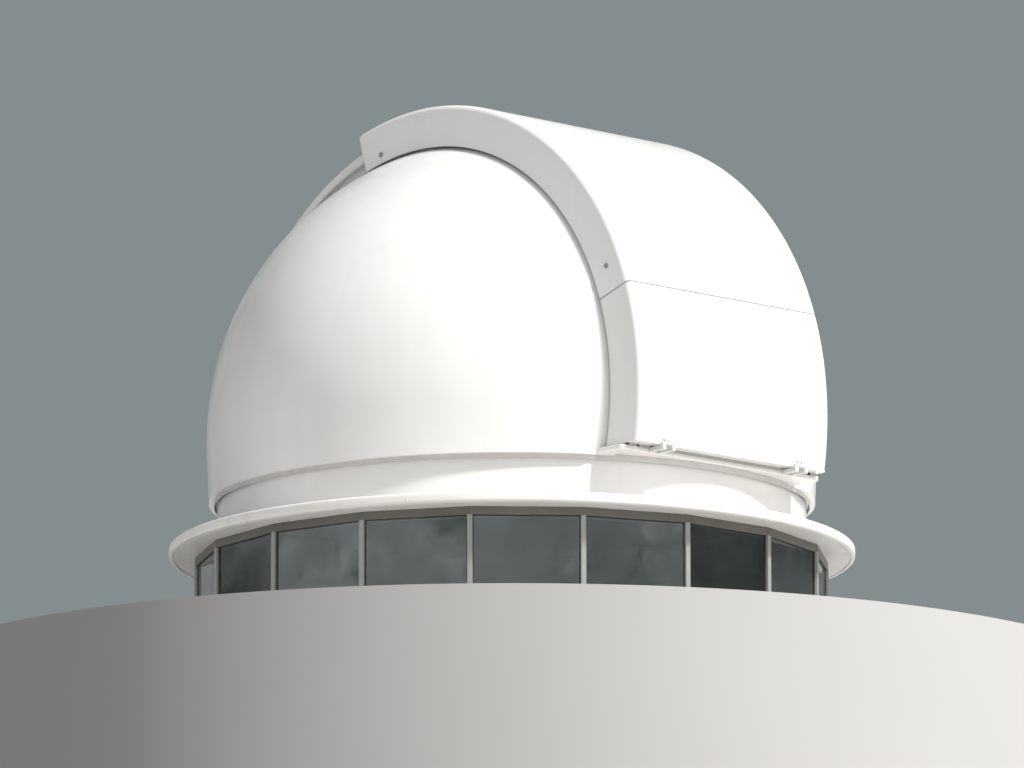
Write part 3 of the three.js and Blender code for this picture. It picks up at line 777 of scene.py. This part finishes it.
axle_z = GROOVE - FIT_GAP - ROLLER_R
wheel_in = ROLLER_AT - ROLLER_WIDE / 2
wheel_out = ROLLER_AT + ROLLER_WIDE / 2
plate_in = wheel_out + ROLLER_GAP
plate_out = (wall - FIT_GAP) * cos(radians(BRACKET_TURN))
bracket_low = axle_z - BRACKET_DROP
bracket_top = SKIRT_TOP - SKIRT_LIP - FIT_GAP
bolt_z = bracket_low + BOLT_UP
for number in range(ROLLERS):
    bm = bmesh.new()
    for x0, x1, radius, sides, index in (
        (wheel_in, wheel_out, ROLLER_R, 64, 0),
        (wheel_in - HUB_PROUD, wheel_in + 2 * HUB_PROUD, ROLLER_R * ROLLER_HUB, 40, 1),
        (wheel_in - NUT_THICK, wheel_in, NUT_R, 6, 1),
        (wheel_in - AXLE_END, plate_in + 5 * SUNK, AXLE_R * THREAD_SHARE, 24, 1),
        (wheel_out - 5 * SUNK, plate_in, AXLE_R, 24, 1),
    ):
        rod(bm, (x0, 0, axle_z), (x1, 0, axle_z), radius, sides, index)
    for side in (-1, 1):
        bolt_y = side * (BRACKET_HALF - BOLT_INSET)
        rod(bm, (plate_in - BOLT_HEAD, bolt_y, bolt_z), (plate_in + SUNK, bolt_y, bolt_z), BOLT_R, 6, 1)
    for x0, z0, x1, z1 in (
        (plate_in, bracket_low, plate_in + BRACKET_PLATE, bracket_top),
        (plate_in, bracket_top - BRACKET_PLATE, plate_out, bracket_top),
        (plate_in, bracket_low, plate_out, bracket_low + BRACKET_PLATE),
        (plate_out - BRACKET_PLATE, bracket_low, plate_out, bracket_top),
    ):
        block(bm, (x0, -BRACKET_HALF, z0), (x1, BRACKET_HALF, z1), index=1)
    turn_round(bm, 360.0 / ROLLERS * (number + 0.5))
    roller = eased(new_object(f"roller_{number + 1}", bm, nylon, galvanised), width=0.0018, segments=3)
    fitted(roller, "drum", "nylon", f"dome_roller_{number + 1}")


# Dome shells. The ball's two sides are glass fibre 8 mm thick, white gelcoat outside and bare laminate
# inside, each joined flush from two quarters. At the foot a hem overhangs the base ring, a flange
# turned in closes it, and a soft lip seal hangs from the flange in front of the gap.
DOME_R = 1.500
DOME_WALL = 0.008
RAIL_IN = 0.561
RAIL_OUT = 0.573
SILL_HALF = 0.660
HEM_R = 1.487
HEM_RUNOUT = 0.050                   # over which the hem fades out beside the sill
FLANGE_IN = 1.4575
HEM_SEAL_R = 1.459
HEM_SEAL_THICK = 0.0025
HEM_SEAL_LOW = 0.8705
LIP_RUBBER = (0.62, 0.60, 0.595, 1.0)
LIP_RUBBER_WORN = (0.54, 0.52, 0.51, 1.0)
RING_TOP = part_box("running_ring_left")[1].z
slit_joint = next(joint for joint in frame["joints"] if joint["name"] == "shutter_roll")
CENTRE = slit_joint["pos_m"][2]
foot_drop = CENTRE - GROOVE
# The hem is tangent to the ball.
hem_lean = atan2(foot_drop, HEM_R) - acos(DOME_R / hypot(HEM_R, foot_drop))
hem_high = CENTRE - DOME_R * sin(hem_lean)


def arched(outline, start, span, steps, closed=True):
    """An outline in x and distance from the slit's axis, carried over the top from the front."""
    bm = bmesh.new()
    a = radians(start)
    verts = [bm.verts.new((x, -r * cos(a), CENTRE + r * sin(a))) for x, r in outline]
    whole = span >= 360.0
    for first, second in zip(verts, verts[1:]):
        bm.edges.new((first, second))
    if closed:
        bm.edges.new((verts[-1], verts[0]))
        if not whole:
            bm.faces.new(verts)
    bmesh.ops.spin(
        bm, geom=bm.verts[:] + bm.edges[:] + bm.faces[:], cent=(0, 0, CENTRE), axis=(-1, 0, 0),
        angle=radians(span), steps=steps, use_merge=whole,
    )
    bmesh.ops.remove_doubles(bm, verts=bm.verts[:], dist=1e-6)
    bmesh.ops.recalc_face_normals(bm, faces=bm.faces[:])
    return bm


def outward(bm):
    """Turns an open shell's faces away from the middle of the ball."""
    face = next(iter(bm.faces))
    if face.normal.dot(face.calc_center_median() - Vector((0, 0, CENTRE))) < 0:
        bmesh.ops.reverse_faces(bm, faces=bm.faces[:])


def cut_below(bm, height, faces=None, cap=False):
    """Cuts away what is lower than a level, and closes the cut of a solid."""
    faces = faces or bm.faces[:]
    edges = dict.fromkeys(edge for face in faces for edge in face.edges)
    verts = dict.fromkeys(vert for face in faces for vert in face.verts)
    made = bmesh.ops.bisect_plane(
        bm, geom=[*verts, *edges, *faces], dist=1e-7, plane_co=(0, 0, height), plane_no=(0, 0, 1),
        clear_inner=True,
    )
    if cap:
        rim = [item for item in made["geom_cut"] if isinstance(item, bmesh.types.BMEdge)]
        bmesh.ops.holes_fill(bm, edges=rim, sides=0)


def hemmed(bm, inside):
    """Draws the foot of a ball out to the hem where it lies beyond a radius and beside the sill."""
    for vert in bm.verts:
        reach = hypot(vert.co.x, vert.co.y)
        if vert.co.z < hem_high and reach > inside:
            share = min(max((abs(vert.co.x) - SILL_HALF) / HEM_RUNOUT, 0.0), 1.0)
            share *= share * (3 - 2 * share)
            ball = sqrt(DOME_R ** 2 - (CENTRE - vert.co.z) ** 2)
            hem = HEM_R + (vert.co.z - GROOVE) * tan(hem_lean)
            stretch = 1 + share * (hem - ball) / reach
            vert.co.x *= stretch
            vert.co.y *= stretch


def thickened(thing, thickness):
    """Gives a shell its wall, inward, with the second material inside."""
    wall = thing.modifiers.new("wall", "SOLIDIFY")
    wall.thickness = thickness
    wall.offset = -1.0
    wall.use_even_offset = True
    wall.material_offset = 1
    return thing


half_angle = degrees(asin((RAIL_OUT + FIT_GAP) / DOME_R))
foot_r = sqrt(DOME_R ** 2 - foot_drop ** 2)
flange_span = 2 * degrees(acos((SILL_HALF + FIT_GAP) / foot_r))
flange_foot = GROOVE + HAIRLINE
flange_out = foot_r - DOME_WALL + SUNK
flange_outline = [
    (FLANGE_IN, flange_foot), (flange_out, flange_foot), (flange_out, RING_TOP), (FLANGE_IN, RING_TOP),
]
for side, sign in (("left", -1), ("right", 1)):
    meridian = arc((0.0, 0.0), DOME_R, 90.0 - half_angle, 0.0, 64)
    meridian[-1] = (DOME_R, 0.0)
    bm = arched([(sign * x, r) for x, r in meridian], start=0.0, span=360.0, steps=300, closed=False)
    cut_below(bm, GROOVE)
    hemmed(bm, FLANGE_IN)
    outward(bm)
    shell = thickened(new_object(f"shell_{side}", bm, gelcoat, laminate), DOME_WALL)
    shell = eased(shell, width=0.0015, angle=40.0)
    fitted(shell, "dome", "gelcoat", f"dome_shell_front_{side}", f"dome_shell_rear_{side}")

    start = 90.0 * (1 - sign) - flange_span / 2
    bm = turned(flange_outline, start, flange_span, steps=120, to_corner=1.0)
    hemmed(bm, FLANGE_IN + SUNK / 2)
    flange = eased(new_object(f"shell_flange_{side}", bm, gelcoat), width=0.0008, angle=50.0)
    fitted(flange, "dome", "gelcoat")

lip_rubber = plain_finish(
    "lip_rubber", (LIP_RUBBER, LIP_RUBBER_WORN), scale=9.0, rough=(0.5, 0.7), depth=0.0003)
seal_out = HEM_SEAL_R + HEM_SEAL_THICK
lip_taper = 0.001
bm = turned([
    (HEM_SEAL_R, HEM_SEAL_LOW + lip_taper), (HEM_SEAL_R + lip_taper, HEM_SEAL_LOW),
    (seal_out, HEM_SEAL_LOW + lip_taper), (seal_out, RING_TOP), (HEM_SEAL_R, RING_TOP),
], start=0.0, steps=240, to_corner=1.0)
fitted(eased(new_object("hem_seal", bm, lip_rubber), width=0.0004, angle=50.0), "dome", "nylon")


# Rear panel. The same moulding closes the ball between the rails, from the back up to the slit's end.
# It has no hem, so that the shutter's rear wall clears it when the shutter is fully open.
SLIT_END = 99.8                      # angle over the top from the front, as all angles along the slit
PANEL_SPAN = 96.0
panel_angle = degrees(asin((RAIL_IN - FIT_GAP) / DOME_R))
across = arc((0.0, 0.0), DOME_R, 90.0 - panel_angle, 90.0 + panel_angle, 32)
bm = arched(across, SLIT_END, PANEL_SPAN, 80, closed=False)
cut_below(bm, GROOVE)
outward(bm)
panel = thickened(new_object("panel_rear", bm, gelcoat, laminate), DOME_WALL)
panel = eased(panel, width=0.0015, angle=40.0)
fitted(panel, "dome", "gelcoat", "rear_panel")


# Slit rails. A white upstand stands along each side of the slit and on down the back, and a pale
# anodised aluminium channel on its outer side is the track: wheels run in it and on it.
RAIL_LOW = 1.372
RAIL_TOP = 1.512
RAIL_ROUND = 0.004
TRACK_OUT = 0.607
TRACK_LOW = 1.396
TRACK_HIGH = 1.440
TRACK_TOP = 1.450
TRACK_PLATE = 0.006
TRACK_BACK = 0.003
TRACK_COAT = (0.62, 0.62, 0.61, 1.0)
TRACK_COAT_PALE = (0.72, 0.72, 0.71, 1.0)
ALLOY = (0.46, 0.47, 0.48, 1.0)
ALLOY_PALE = (0.60, 0.61, 0.62, 1.0)
RAIL_START = -16.0                   # both ends are then cut off level
RAIL_SPAN = 212.0
SILL_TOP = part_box("slit_sill")[1].z

track_coat = plain_finish(
    "track_coat", (TRACK_COAT, TRACK_COAT_PALE), scale=12.0, stretch=(16, 1, 1), rough=(0.42, 0.58),
    depth=0.00008, Metallic=0.25,
)
alloy = plain_finish(
    "mill_alloy", (ALLOY, ALLOY_PALE), scale=18.0, stretch=(22, 1, 1), rough=(0.33, 0.5),
    depth=0.00008, Metallic=0.95,
)

upstand_outline = [
    (RAIL_IN, RAIL_LOW), (RAIL_OUT, RAIL_LOW),
    *arc((RAIL_OUT - RAIL_ROUND, RAIL_TOP - RAIL_ROUND), RAIL_ROUND, 0, 90, 3),
    *arc((RAIL_IN + RAIL_ROUND, RAIL_TOP - RAIL_ROUND), RAIL_ROUND, 90, 180, 3),
]
track_outline = [
    (RAIL_OUT, TRACK_LOW - TRACK_PLATE), (TRACK_OUT, TRACK_LOW - TRACK_PLATE), (TRACK_OUT, TRACK_LOW),
    (RAIL_OUT + TRACK_BACK, TRACK_LOW), (RAIL_OUT + TRACK_BACK, TRACK_HIGH), (TRACK_OUT, TRACK_HIGH),
    (TRACK_OUT, TRACK_TOP), (RAIL_OUT, TRACK_TOP),
]
for side, sign in (("left", -1), ("right", 1)):
    for name, outline, material, slot in (
        ("upstand", upstand_outline, gelcoat, "gelcoat"), ("track", track_outline, track_coat, "alloy"),
    ):
        bm = arched([(sign * x, r) for x, r in outline], RAIL_START, RAIL_SPAN, round(RAIL_SPAN))
        for end, level in ((-1, SILL_TOP), (1, RING_TOP)):
            faces = [face for face in bm.faces if end * face.calc_center_median().y > 0]
            cut_below(bm, level + FIT_GAP, faces, cap=True)
        bmesh.ops.recalc_face_normals(bm, faces=bm.faces[:])
        rail = eased(new_object(f"slit_{name}_{side}", bm, material), width=0.0012, angle=50.0)
        fitted(rail, "dome", slot, f"slit_rail_{side}")


# Running ring and crossbar. Flat alloy pieces inside the dome: the ring lies on the rollers and is
# bolted to the shells' foot, and the crossbar ties the rails together at the slit's end.
RING_BOLTS = 9
RING_BOLT_STEP = 14.0
RING_BOLT_AT = 1.425


def dressed(node, body, slot, width, material):
    """A solid's own shape, merged into whole faces, with its sharp edges broken to a width."""
    bm = bmesh.new()
    bm.from_mesh(frame["nodes"][node].data)
    bmesh.ops.remove_doubles(bm, verts=bm.verts[:], dist=1e-5)
    bmesh.ops.dissolve_limit(bm, angle_limit=radians(1.0), verts=bm.verts[:], edges=bm.edges[:])
    bmesh.ops.recalc_face_normals(bm, faces=bm.faces[:])
    for face in bm.faces:
        face.material_index = 0
    piece = eased(new_object(f"{node}_piece", bm, material), width)
    return fitted(piece, body, slot, node)


for side, middle in (("left", 180.0), ("right", 0.0)):
    dressed(f"running_ring_{side}", "dome", "alloy", 0.001, alloy)
    bm = bmesh.new()
    rod(bm, (RING_BOLT_AT, 0, RING_TOP - SUNK), (RING_BOLT_AT, 0, RING_TOP + BOLT_HEAD), BOLT_R, 6)
    turn_round(bm, middle - RING_BOLT_STEP * (RING_BOLTS - 1) / 2)
    repeat_round(bm, RING_BOLTS, RING_BOLT_STEP)
    fitted(eased(new_object(f"ring_bolts_{side}", bm, galvanised), width=0.001), "dome", "alloy")
dressed("slit_crossbar", "dome", "alloy", 0.0015, alloy)


# Slit sill. The ledge that the flap stands on: a plain thick white moulding with a straight front
# edge and rounded corners, set over the running ring between the shells.
SILL_LOW = RING_TOP + FIT_GAP
SILL_FRONT = 1.485
SILL_BACK = -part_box("slit_sill")[1].y
SILL_ROUND = 0.025


def slab(plan, low, high):
    """A plate with the given outline in plan, between two levels."""
    bm = bmesh.new()
    base_face = bm.faces.new([bm.verts.new((x, y, low)) for x, y in plan])
    raised = bmesh.ops.extrude_face_region(bm, geom=[base_face])
    tops = [item for item in raised["geom"] if isinstance(item, bmesh.types.BMVert)]
    bmesh.ops.translate(bm, verts=tops, vec=(0, 0, high - low))
    bmesh.ops.recalc_face_normals(bm, faces=bm.faces[:])
    return bm


at_sill = sqrt(DOME_R ** 2 - (CENTRE - SILL_TOP) ** 2) + SUNK
angles = [degrees(asin(x / at_sill)) for x in (SILL_HALF, RAIL_OUT)]
right_side = arc((0.0, 0.0), at_sill, angles[0] - 90.0, angles[1] - 90.0, 6)
plan = [
    *arc((-SILL_HALF + SILL_ROUND, -SILL_FRONT + SILL_ROUND), SILL_ROUND, 180, 270, 6),
    *arc((SILL_HALF - SILL_ROUND, -SILL_FRONT + SILL_ROUND), SILL_ROUND, 270, 360, 6),
    *right_side, (RAIL_OUT, -SILL_BACK), (-RAIL_OUT, -SILL_BACK),
    *[(-x, y) for x, y in reversed(right_side)],
]
bm = slab(plan, SILL_LOW, SILL_TOP)
fitted(eased(new_object("sill", bm, gelcoat), width=0.005, segments=4), "dome", "gelcoat", "slit_sill")


# Upper shutter. One glass-fibre moulding with rounded edges bridges the slit: a curved cover, two
# deep cheeks, and a rear wall that ends just above the rails and runs on down beside the tracks.
COVER_R = 1.582
COVER_HALF = 0.632
COVER_WALL = 0.010
COVER_ROUND = 0.030
CHEEK_LOW = 1.376
SEAM = 18.5                          # middle of the joint with the flap
SEAM_HALF = 0.14
SHUTTER_END = 106.2
BAR_LOW = 1.519
REAR_RETURN = 0.018                  # the rear wall's strip down each cheek, beside the tracks
REAR_ROUND = 0.016


def moulding(start, end, inset=0.0):
    """Cover and cheeks as one open sheet, with their long edges rounded."""
    half = COVER_HALF - inset
    shoulder = (COVER_HALF - COVER_ROUND, COVER_R - COVER_ROUND)
    section = [
        (-half, CHEEK_LOW + inset), *arc((-shoulder[0], shoulder[1]), COVER_ROUND - inset, 180, 90, 8),
        *arc(shoulder, COVER_ROUND - inset, 90, 0, 8), (half, CHEEK_LOW + inset),
    ]
    bm = arched(section, start, end - start, max(round(end - start), 1), closed=False)
    outward(bm)
    return bm


def on_arch(x, reach, phi):
    """A place given by x, distance from the slit's axis, and the angle up over the top from the front."""
    return Vector((x, -reach * cos(radians(phi)), CENTRE + reach * sin(radians(phi))))


def reach_of(vert):
    return hypot(vert.co.y, vert.co.z - CENTRE)


def is_at(vert, reach, phi):
    """Whether a point lies at a distance from the slit's axis and at an angle over the top."""
    return (vert.co - on_arch(vert.co.x, reach, phi)).length < 1e-4


# The rear wall closes the moulding's end, and its foot steps up between the cheeks to clear the rails.
bm = moulding(SEAM + SEAM_HALF, SHUTTER_END)
last_edges = [
    edge for edge in bm.edges
    if edge.is_boundary and all(is_at(end, reach_of(end), SHUTTER_END) for end in edge.verts)
]
foot_verts = {
    end.co.x > 0: end for edge in last_edges for end in edge.verts
    if is_at(end, CHEEK_LOW, SHUTTER_END)
}
turned_in = COVER_HALF - REAR_RETURN
chain = [foot_verts[False]]
for x, reach in (
    (-turned_in, CHEEK_LOW), (-turned_in, BAR_LOW), (turned_in, BAR_LOW), (turned_in, CHEEK_LOW),
):
    chain.append(bm.verts.new(on_arch(x, reach, SHUTTER_END)))
chain.append(foot_verts[True])
bottom_edges = [bm.edges.new(pair) for pair in zip(chain, chain[1:])]
bmesh.ops.edgeloop_fill(bm, edges=last_edges + bottom_edges)
bmesh.ops.recalc_face_normals(bm, faces=bm.faces[:])
outward(bm)
bmesh.ops.bevel(
    bm, geom=last_edges, offset=REAR_ROUND, offset_type="OFFSET", segments=5, profile=0.5,
    affect="EDGES", material=-1, clamp_overlap=True,
)
cover = thickened(new_object("upper_cover", bm, gelcoat, laminate), COVER_WALL)
cover = eased(cover, width=0.002, angle=40.0)
fitted(cover, "upper_shutter", "gelcoat",
       "shutter_cover", "shutter_cheek_left", "shutter_cheek_right", "shutter_rear_wall")


# Shutter's front bar and weather lip. A moulded bar stiffens the front edge inside, and a thin lip on
# it reaches down behind the flap's top edge. A foam strip in the joint closes it to the rain. Its grey
# is partly the foam's own and partly painted shade, so that the joint shows as a shadow line.
LIP_HALF = 0.600
LIP_LOW = 1.557
LIP_HIGH = 1.565
LIP_REACH = 0.5                      # angle from the joint down to the lip's edge
BAR_FRONT = 0.44                     # angle from the joint up to the bar's front face
FOAM_INSET = 0.004
FOAM_GAP = 0.08                      # angle from the joint's middle down to the foam's edge
FOAM_UNDER = 0.01                    # angle that the foam runs on under the upper shutter
SET_BACK = 0.0005                    # how far a strip stays short of the face beside it
# The foam's grey is partly its own and partly painted shade, the shade in the joint and under the flap.
FOAM_SHADE = (0.42, 0.41, 0.40, 1.0)
FOAM_SHADE_DIRTY = (0.36, 0.35, 0.335, 1.0)

dressed("shutter_front_bar", "upper_shutter", "gelcoat", 0.0015, gelcoat)
bm = arched([(-LIP_HALF, LIP_LOW), (LIP_HALF, LIP_LOW), (LIP_HALF, LIP_HIGH), (-LIP_HALF, LIP_HIGH)],
            start=SEAM - LIP_REACH, span=LIP_REACH + BAR_FRONT, steps=2)
fitted(eased(new_object("weather_lip", bm, gelcoat), width=0.002), "upper_shutter", "gelcoat")

foam_shade = plain_finish("foam_strip_shade", (FOAM_SHADE, FOAM_SHADE_DIRTY), scale=40.0, rough=(0.75, 0.9), depth=0.0004)
bm = moulding(SEAM - FOAM_GAP, SEAM + SEAM_HALF + FOAM_UNDER, FOAM_INSET)
strip = thickened(new_object("joint_foam_shade", bm, foam_shade, foam_shade), COVER_WALL - FOAM_INSET - SET_BACK)
fitted(eased(strip, width=0.0008, angle=50.0), "upper_shutter", "gelcoat")


# Shutter wheels. Nylon wheels on steel axles carry the upper shutter: the rear pair runs inside the
# tracks' channels, the front pair on top of them. Small grey caps outside cover the axles' ends.
WHEEL_IN = 0.576
WHEEL_OUT = 0.604
HUB_SHARE = 0.55
HUB_DEEP = 0.003
HUB_PROUD_IN = 0.0005
HUB_PROUD_OUT = 0.0015
AXLE_NUT = 0.007
AXLE_NUT_SHARE = 1.35                # the nut's radius to the axle's
SHUTTER_AXLE_R = 0.008
CAP_R = 0.013
CAP_PROUD = 0.007
CAP_GREY = (0.24, 0.235, 0.24, 1.0)
CAP_WORN = (0.33, 0.325, 0.32, 1.0)

cap_plastic = plain_finish(
    "cap_plastic", (CAP_GREY, CAP_WORN), scale=70.0, rough=(0.35, 0.55), depth=0.0001)

for name in ("front", "rear"):
    for side, sign in (("left", -1), ("right", 1)):
        low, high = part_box(f"shutter_roller_{name}_{side}")
        at = (low + high) / 2
        wheel_r = (high.z - low.z) / 2
        bm = bmesh.new()
        for x0, x1, radius, sides, index in (
            (WHEEL_IN, WHEEL_OUT, wheel_r, 56, 0),
            (WHEEL_IN - HUB_PROUD_IN, WHEEL_IN + HUB_DEEP, wheel_r * HUB_SHARE, 40, 1),
            (WHEEL_OUT - HUB_DEEP, WHEEL_OUT + HUB_PROUD_OUT, wheel_r * HUB_SHARE, 40, 1),
            (WHEEL_OUT, WHEEL_OUT + AXLE_NUT, SHUTTER_AXLE_R * AXLE_NUT_SHARE, 6, 1),
            (WHEEL_OUT - 2 * SUNK, COVER_HALF - COVER_WALL - FIT_GAP, SHUTTER_AXLE_R, 28, 1),
        ):
            rod(bm, (sign * x0, at.y, at.z), (sign * x1, at.y, at.z), radius, sides, index)
        wheel = new_object(f"shutter_wheel_{name}_{side}", bm, nylon, galvanised)
        wheel = eased(wheel, width=0.0014, segments=3)
        fitted(wheel, "upper_shutter", "nylon", f"shutter_roller_{name}_{side}")

        bm = bmesh.new()
        cap_in = sign * (COVER_HALF - SUNK)
        cap_out = sign * (COVER_HALF + CAP_PROUD)
        rod(bm, (cap_in, at.y, at.z), (cap_out, at.y, at.z), CAP_R, 40)
        cap = eased(new_object(f"axle_cap_{name}_{side}", bm, cap_plastic), width=0.0045, segments=5)
        fitted(cap, "upper_shutter", "dark_steel")


# Lower flap. A shorter moulding of the same section closes the slit from its sill up to the joint. Its
# foot is cut off level and stiffened by a flange turned in over the sill and between the rails. A brush
# under the flange closes the gap in front of the sill; it is of the same foam, grey partly as painted
# shade.
RUN_GAP = 0.007
FLAP_START = -14.0                   # below the foot, which is then cut off level
FOOT_FRONT = 1.555
FOOT_STEP = 1.4945                   # clears the rails' upstands as the flap folds down
FOOT_BACK = 1.452
FOOT_TONGUE = 0.553
FOOT_THICK = 0.008
BRUSH_AT = 1.4945
BRUSH_THICK = 0.002
BRUSH_LOW = 0.9155
# The brush runs between and beside the hinges and rails, on each side of the middle.
BRUSH_RUNS = ((0.0005, 0.400), (0.480, 0.553), (0.582, 0.620))

flap_foot = SILL_TOP + RUN_GAP
bm = moulding(FLAP_START, SEAM - SEAM_HALF)
cut_below(bm, flap_foot)
flap = thickened(new_object("flap_moulding", bm, gelcoat, laminate), COVER_WALL)
flap = eased(flap, width=0.002, angle=40.0)
fitted(flap, "lower_flap", "gelcoat", "flap_cover", "flap_cheek_left", "flap_cheek_right")

foot_half = COVER_HALF - COVER_WALL + 2 * SUNK
plan = [
    (-foot_half, -FOOT_FRONT), (foot_half, -FOOT_FRONT), (foot_half, -FOOT_STEP),
    (FOOT_TONGUE, -FOOT_STEP), (FOOT_TONGUE, -FOOT_BACK), (-FOOT_TONGUE, -FOOT_BACK),
    (-FOOT_TONGUE, -FOOT_STEP), (-foot_half, -FOOT_STEP),
]
bm = slab(plan, flap_foot + SET_BACK, flap_foot + FOOT_THICK)
fitted(eased(new_object("flap_foot_flange", bm, gelcoat), width=0.0015), "lower_flap", "gelcoat")

bm = bmesh.new()
for x0, x1 in BRUSH_RUNS:
    for sign in (-1, 1):
        root = (sign * x1, -BRUSH_AT + BRUSH_THICK, flap_foot + 2 * SUNK)
        block(bm, (sign * x0, -BRUSH_AT, BRUSH_LOW), root)
fitted(eased(new_object("flap_foot_brush", bm, foam_shade), width=0.0006), "lower_flap", "nylon")


# Flap hinges. Two pale coated steel hinges carry the flap in front of the sill: a strap on the flap
# with its knuckle, and a bracket with the pin on the sill's front face. Round-headed screws hold both.
STRAP_OUT = 1.5873
STRAP_SCREW_AT = -9.38               # angle of the screws on the flap
SCREW_OFF = 0.011                    # from the hinge's middle
HINGE_SCREW_R = 0.0045
HINGE_SCREW_RISE = 0.002
BRACKET_FACE = 1.4913
BRACKET_SCREW_Z = 0.911
HINGE_EDGE = 0.0008
HINGE_COAT = (0.66, 0.66, 0.65, 1.0)
HINGE_COAT_PALE = (0.75, 0.75, 0.735, 1.0)

hinge_coat = plain_finish(
    "hinge_coat", (HINGE_COAT, HINGE_COAT_PALE), scale=40.0, rough=(0.45, 0.6), depth=0.0001, Metallic=0.15)
for side, sign in (("left", -1), ("right", 1)):
    low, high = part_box(f"flap_hinge_{side}")
    hinge_x = (low.x + high.x) / 2
    dressed(f"flap_hinge_{side}", "lower_flap", "dark_steel", HINGE_EDGE, hinge_coat)
    dressed(f"hinge_bracket_{side}", "dome", "dark_steel", HINGE_EDGE, hinge_coat)
    strap_screws = bmesh.new()
    plate_screws = bmesh.new()
    for x in (hinge_x - SCREW_OFF, hinge_x + SCREW_OFF):
        rod(strap_screws, on_arch(x, STRAP_OUT - SUNK, STRAP_SCREW_AT),
            on_arch(x, STRAP_OUT + HINGE_SCREW_RISE, STRAP_SCREW_AT), HINGE_SCREW_R, 20)
        rod(plate_screws, (x, -BRACKET_FACE + SUNK, BRACKET_SCREW_Z),
            (x, -BRACKET_FACE - HINGE_SCREW_RISE, BRACKET_SCREW_Z), HINGE_SCREW_R, 20)
    strap_screws = eased(new_object(f"strap_screws_{side}", strap_screws, galvanised), width=0.0012)
    plate_screws = eased(new_object(f"plate_screws_{side}", plate_screws, galvanised), width=0.0012)
    fitted(strap_screws, "lower_flap", "dark_steel")
    fitted(plate_screws, "dome", "dark_steel")


# The bounds of every piece that is shown, the floor and plinth left out.
low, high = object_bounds()
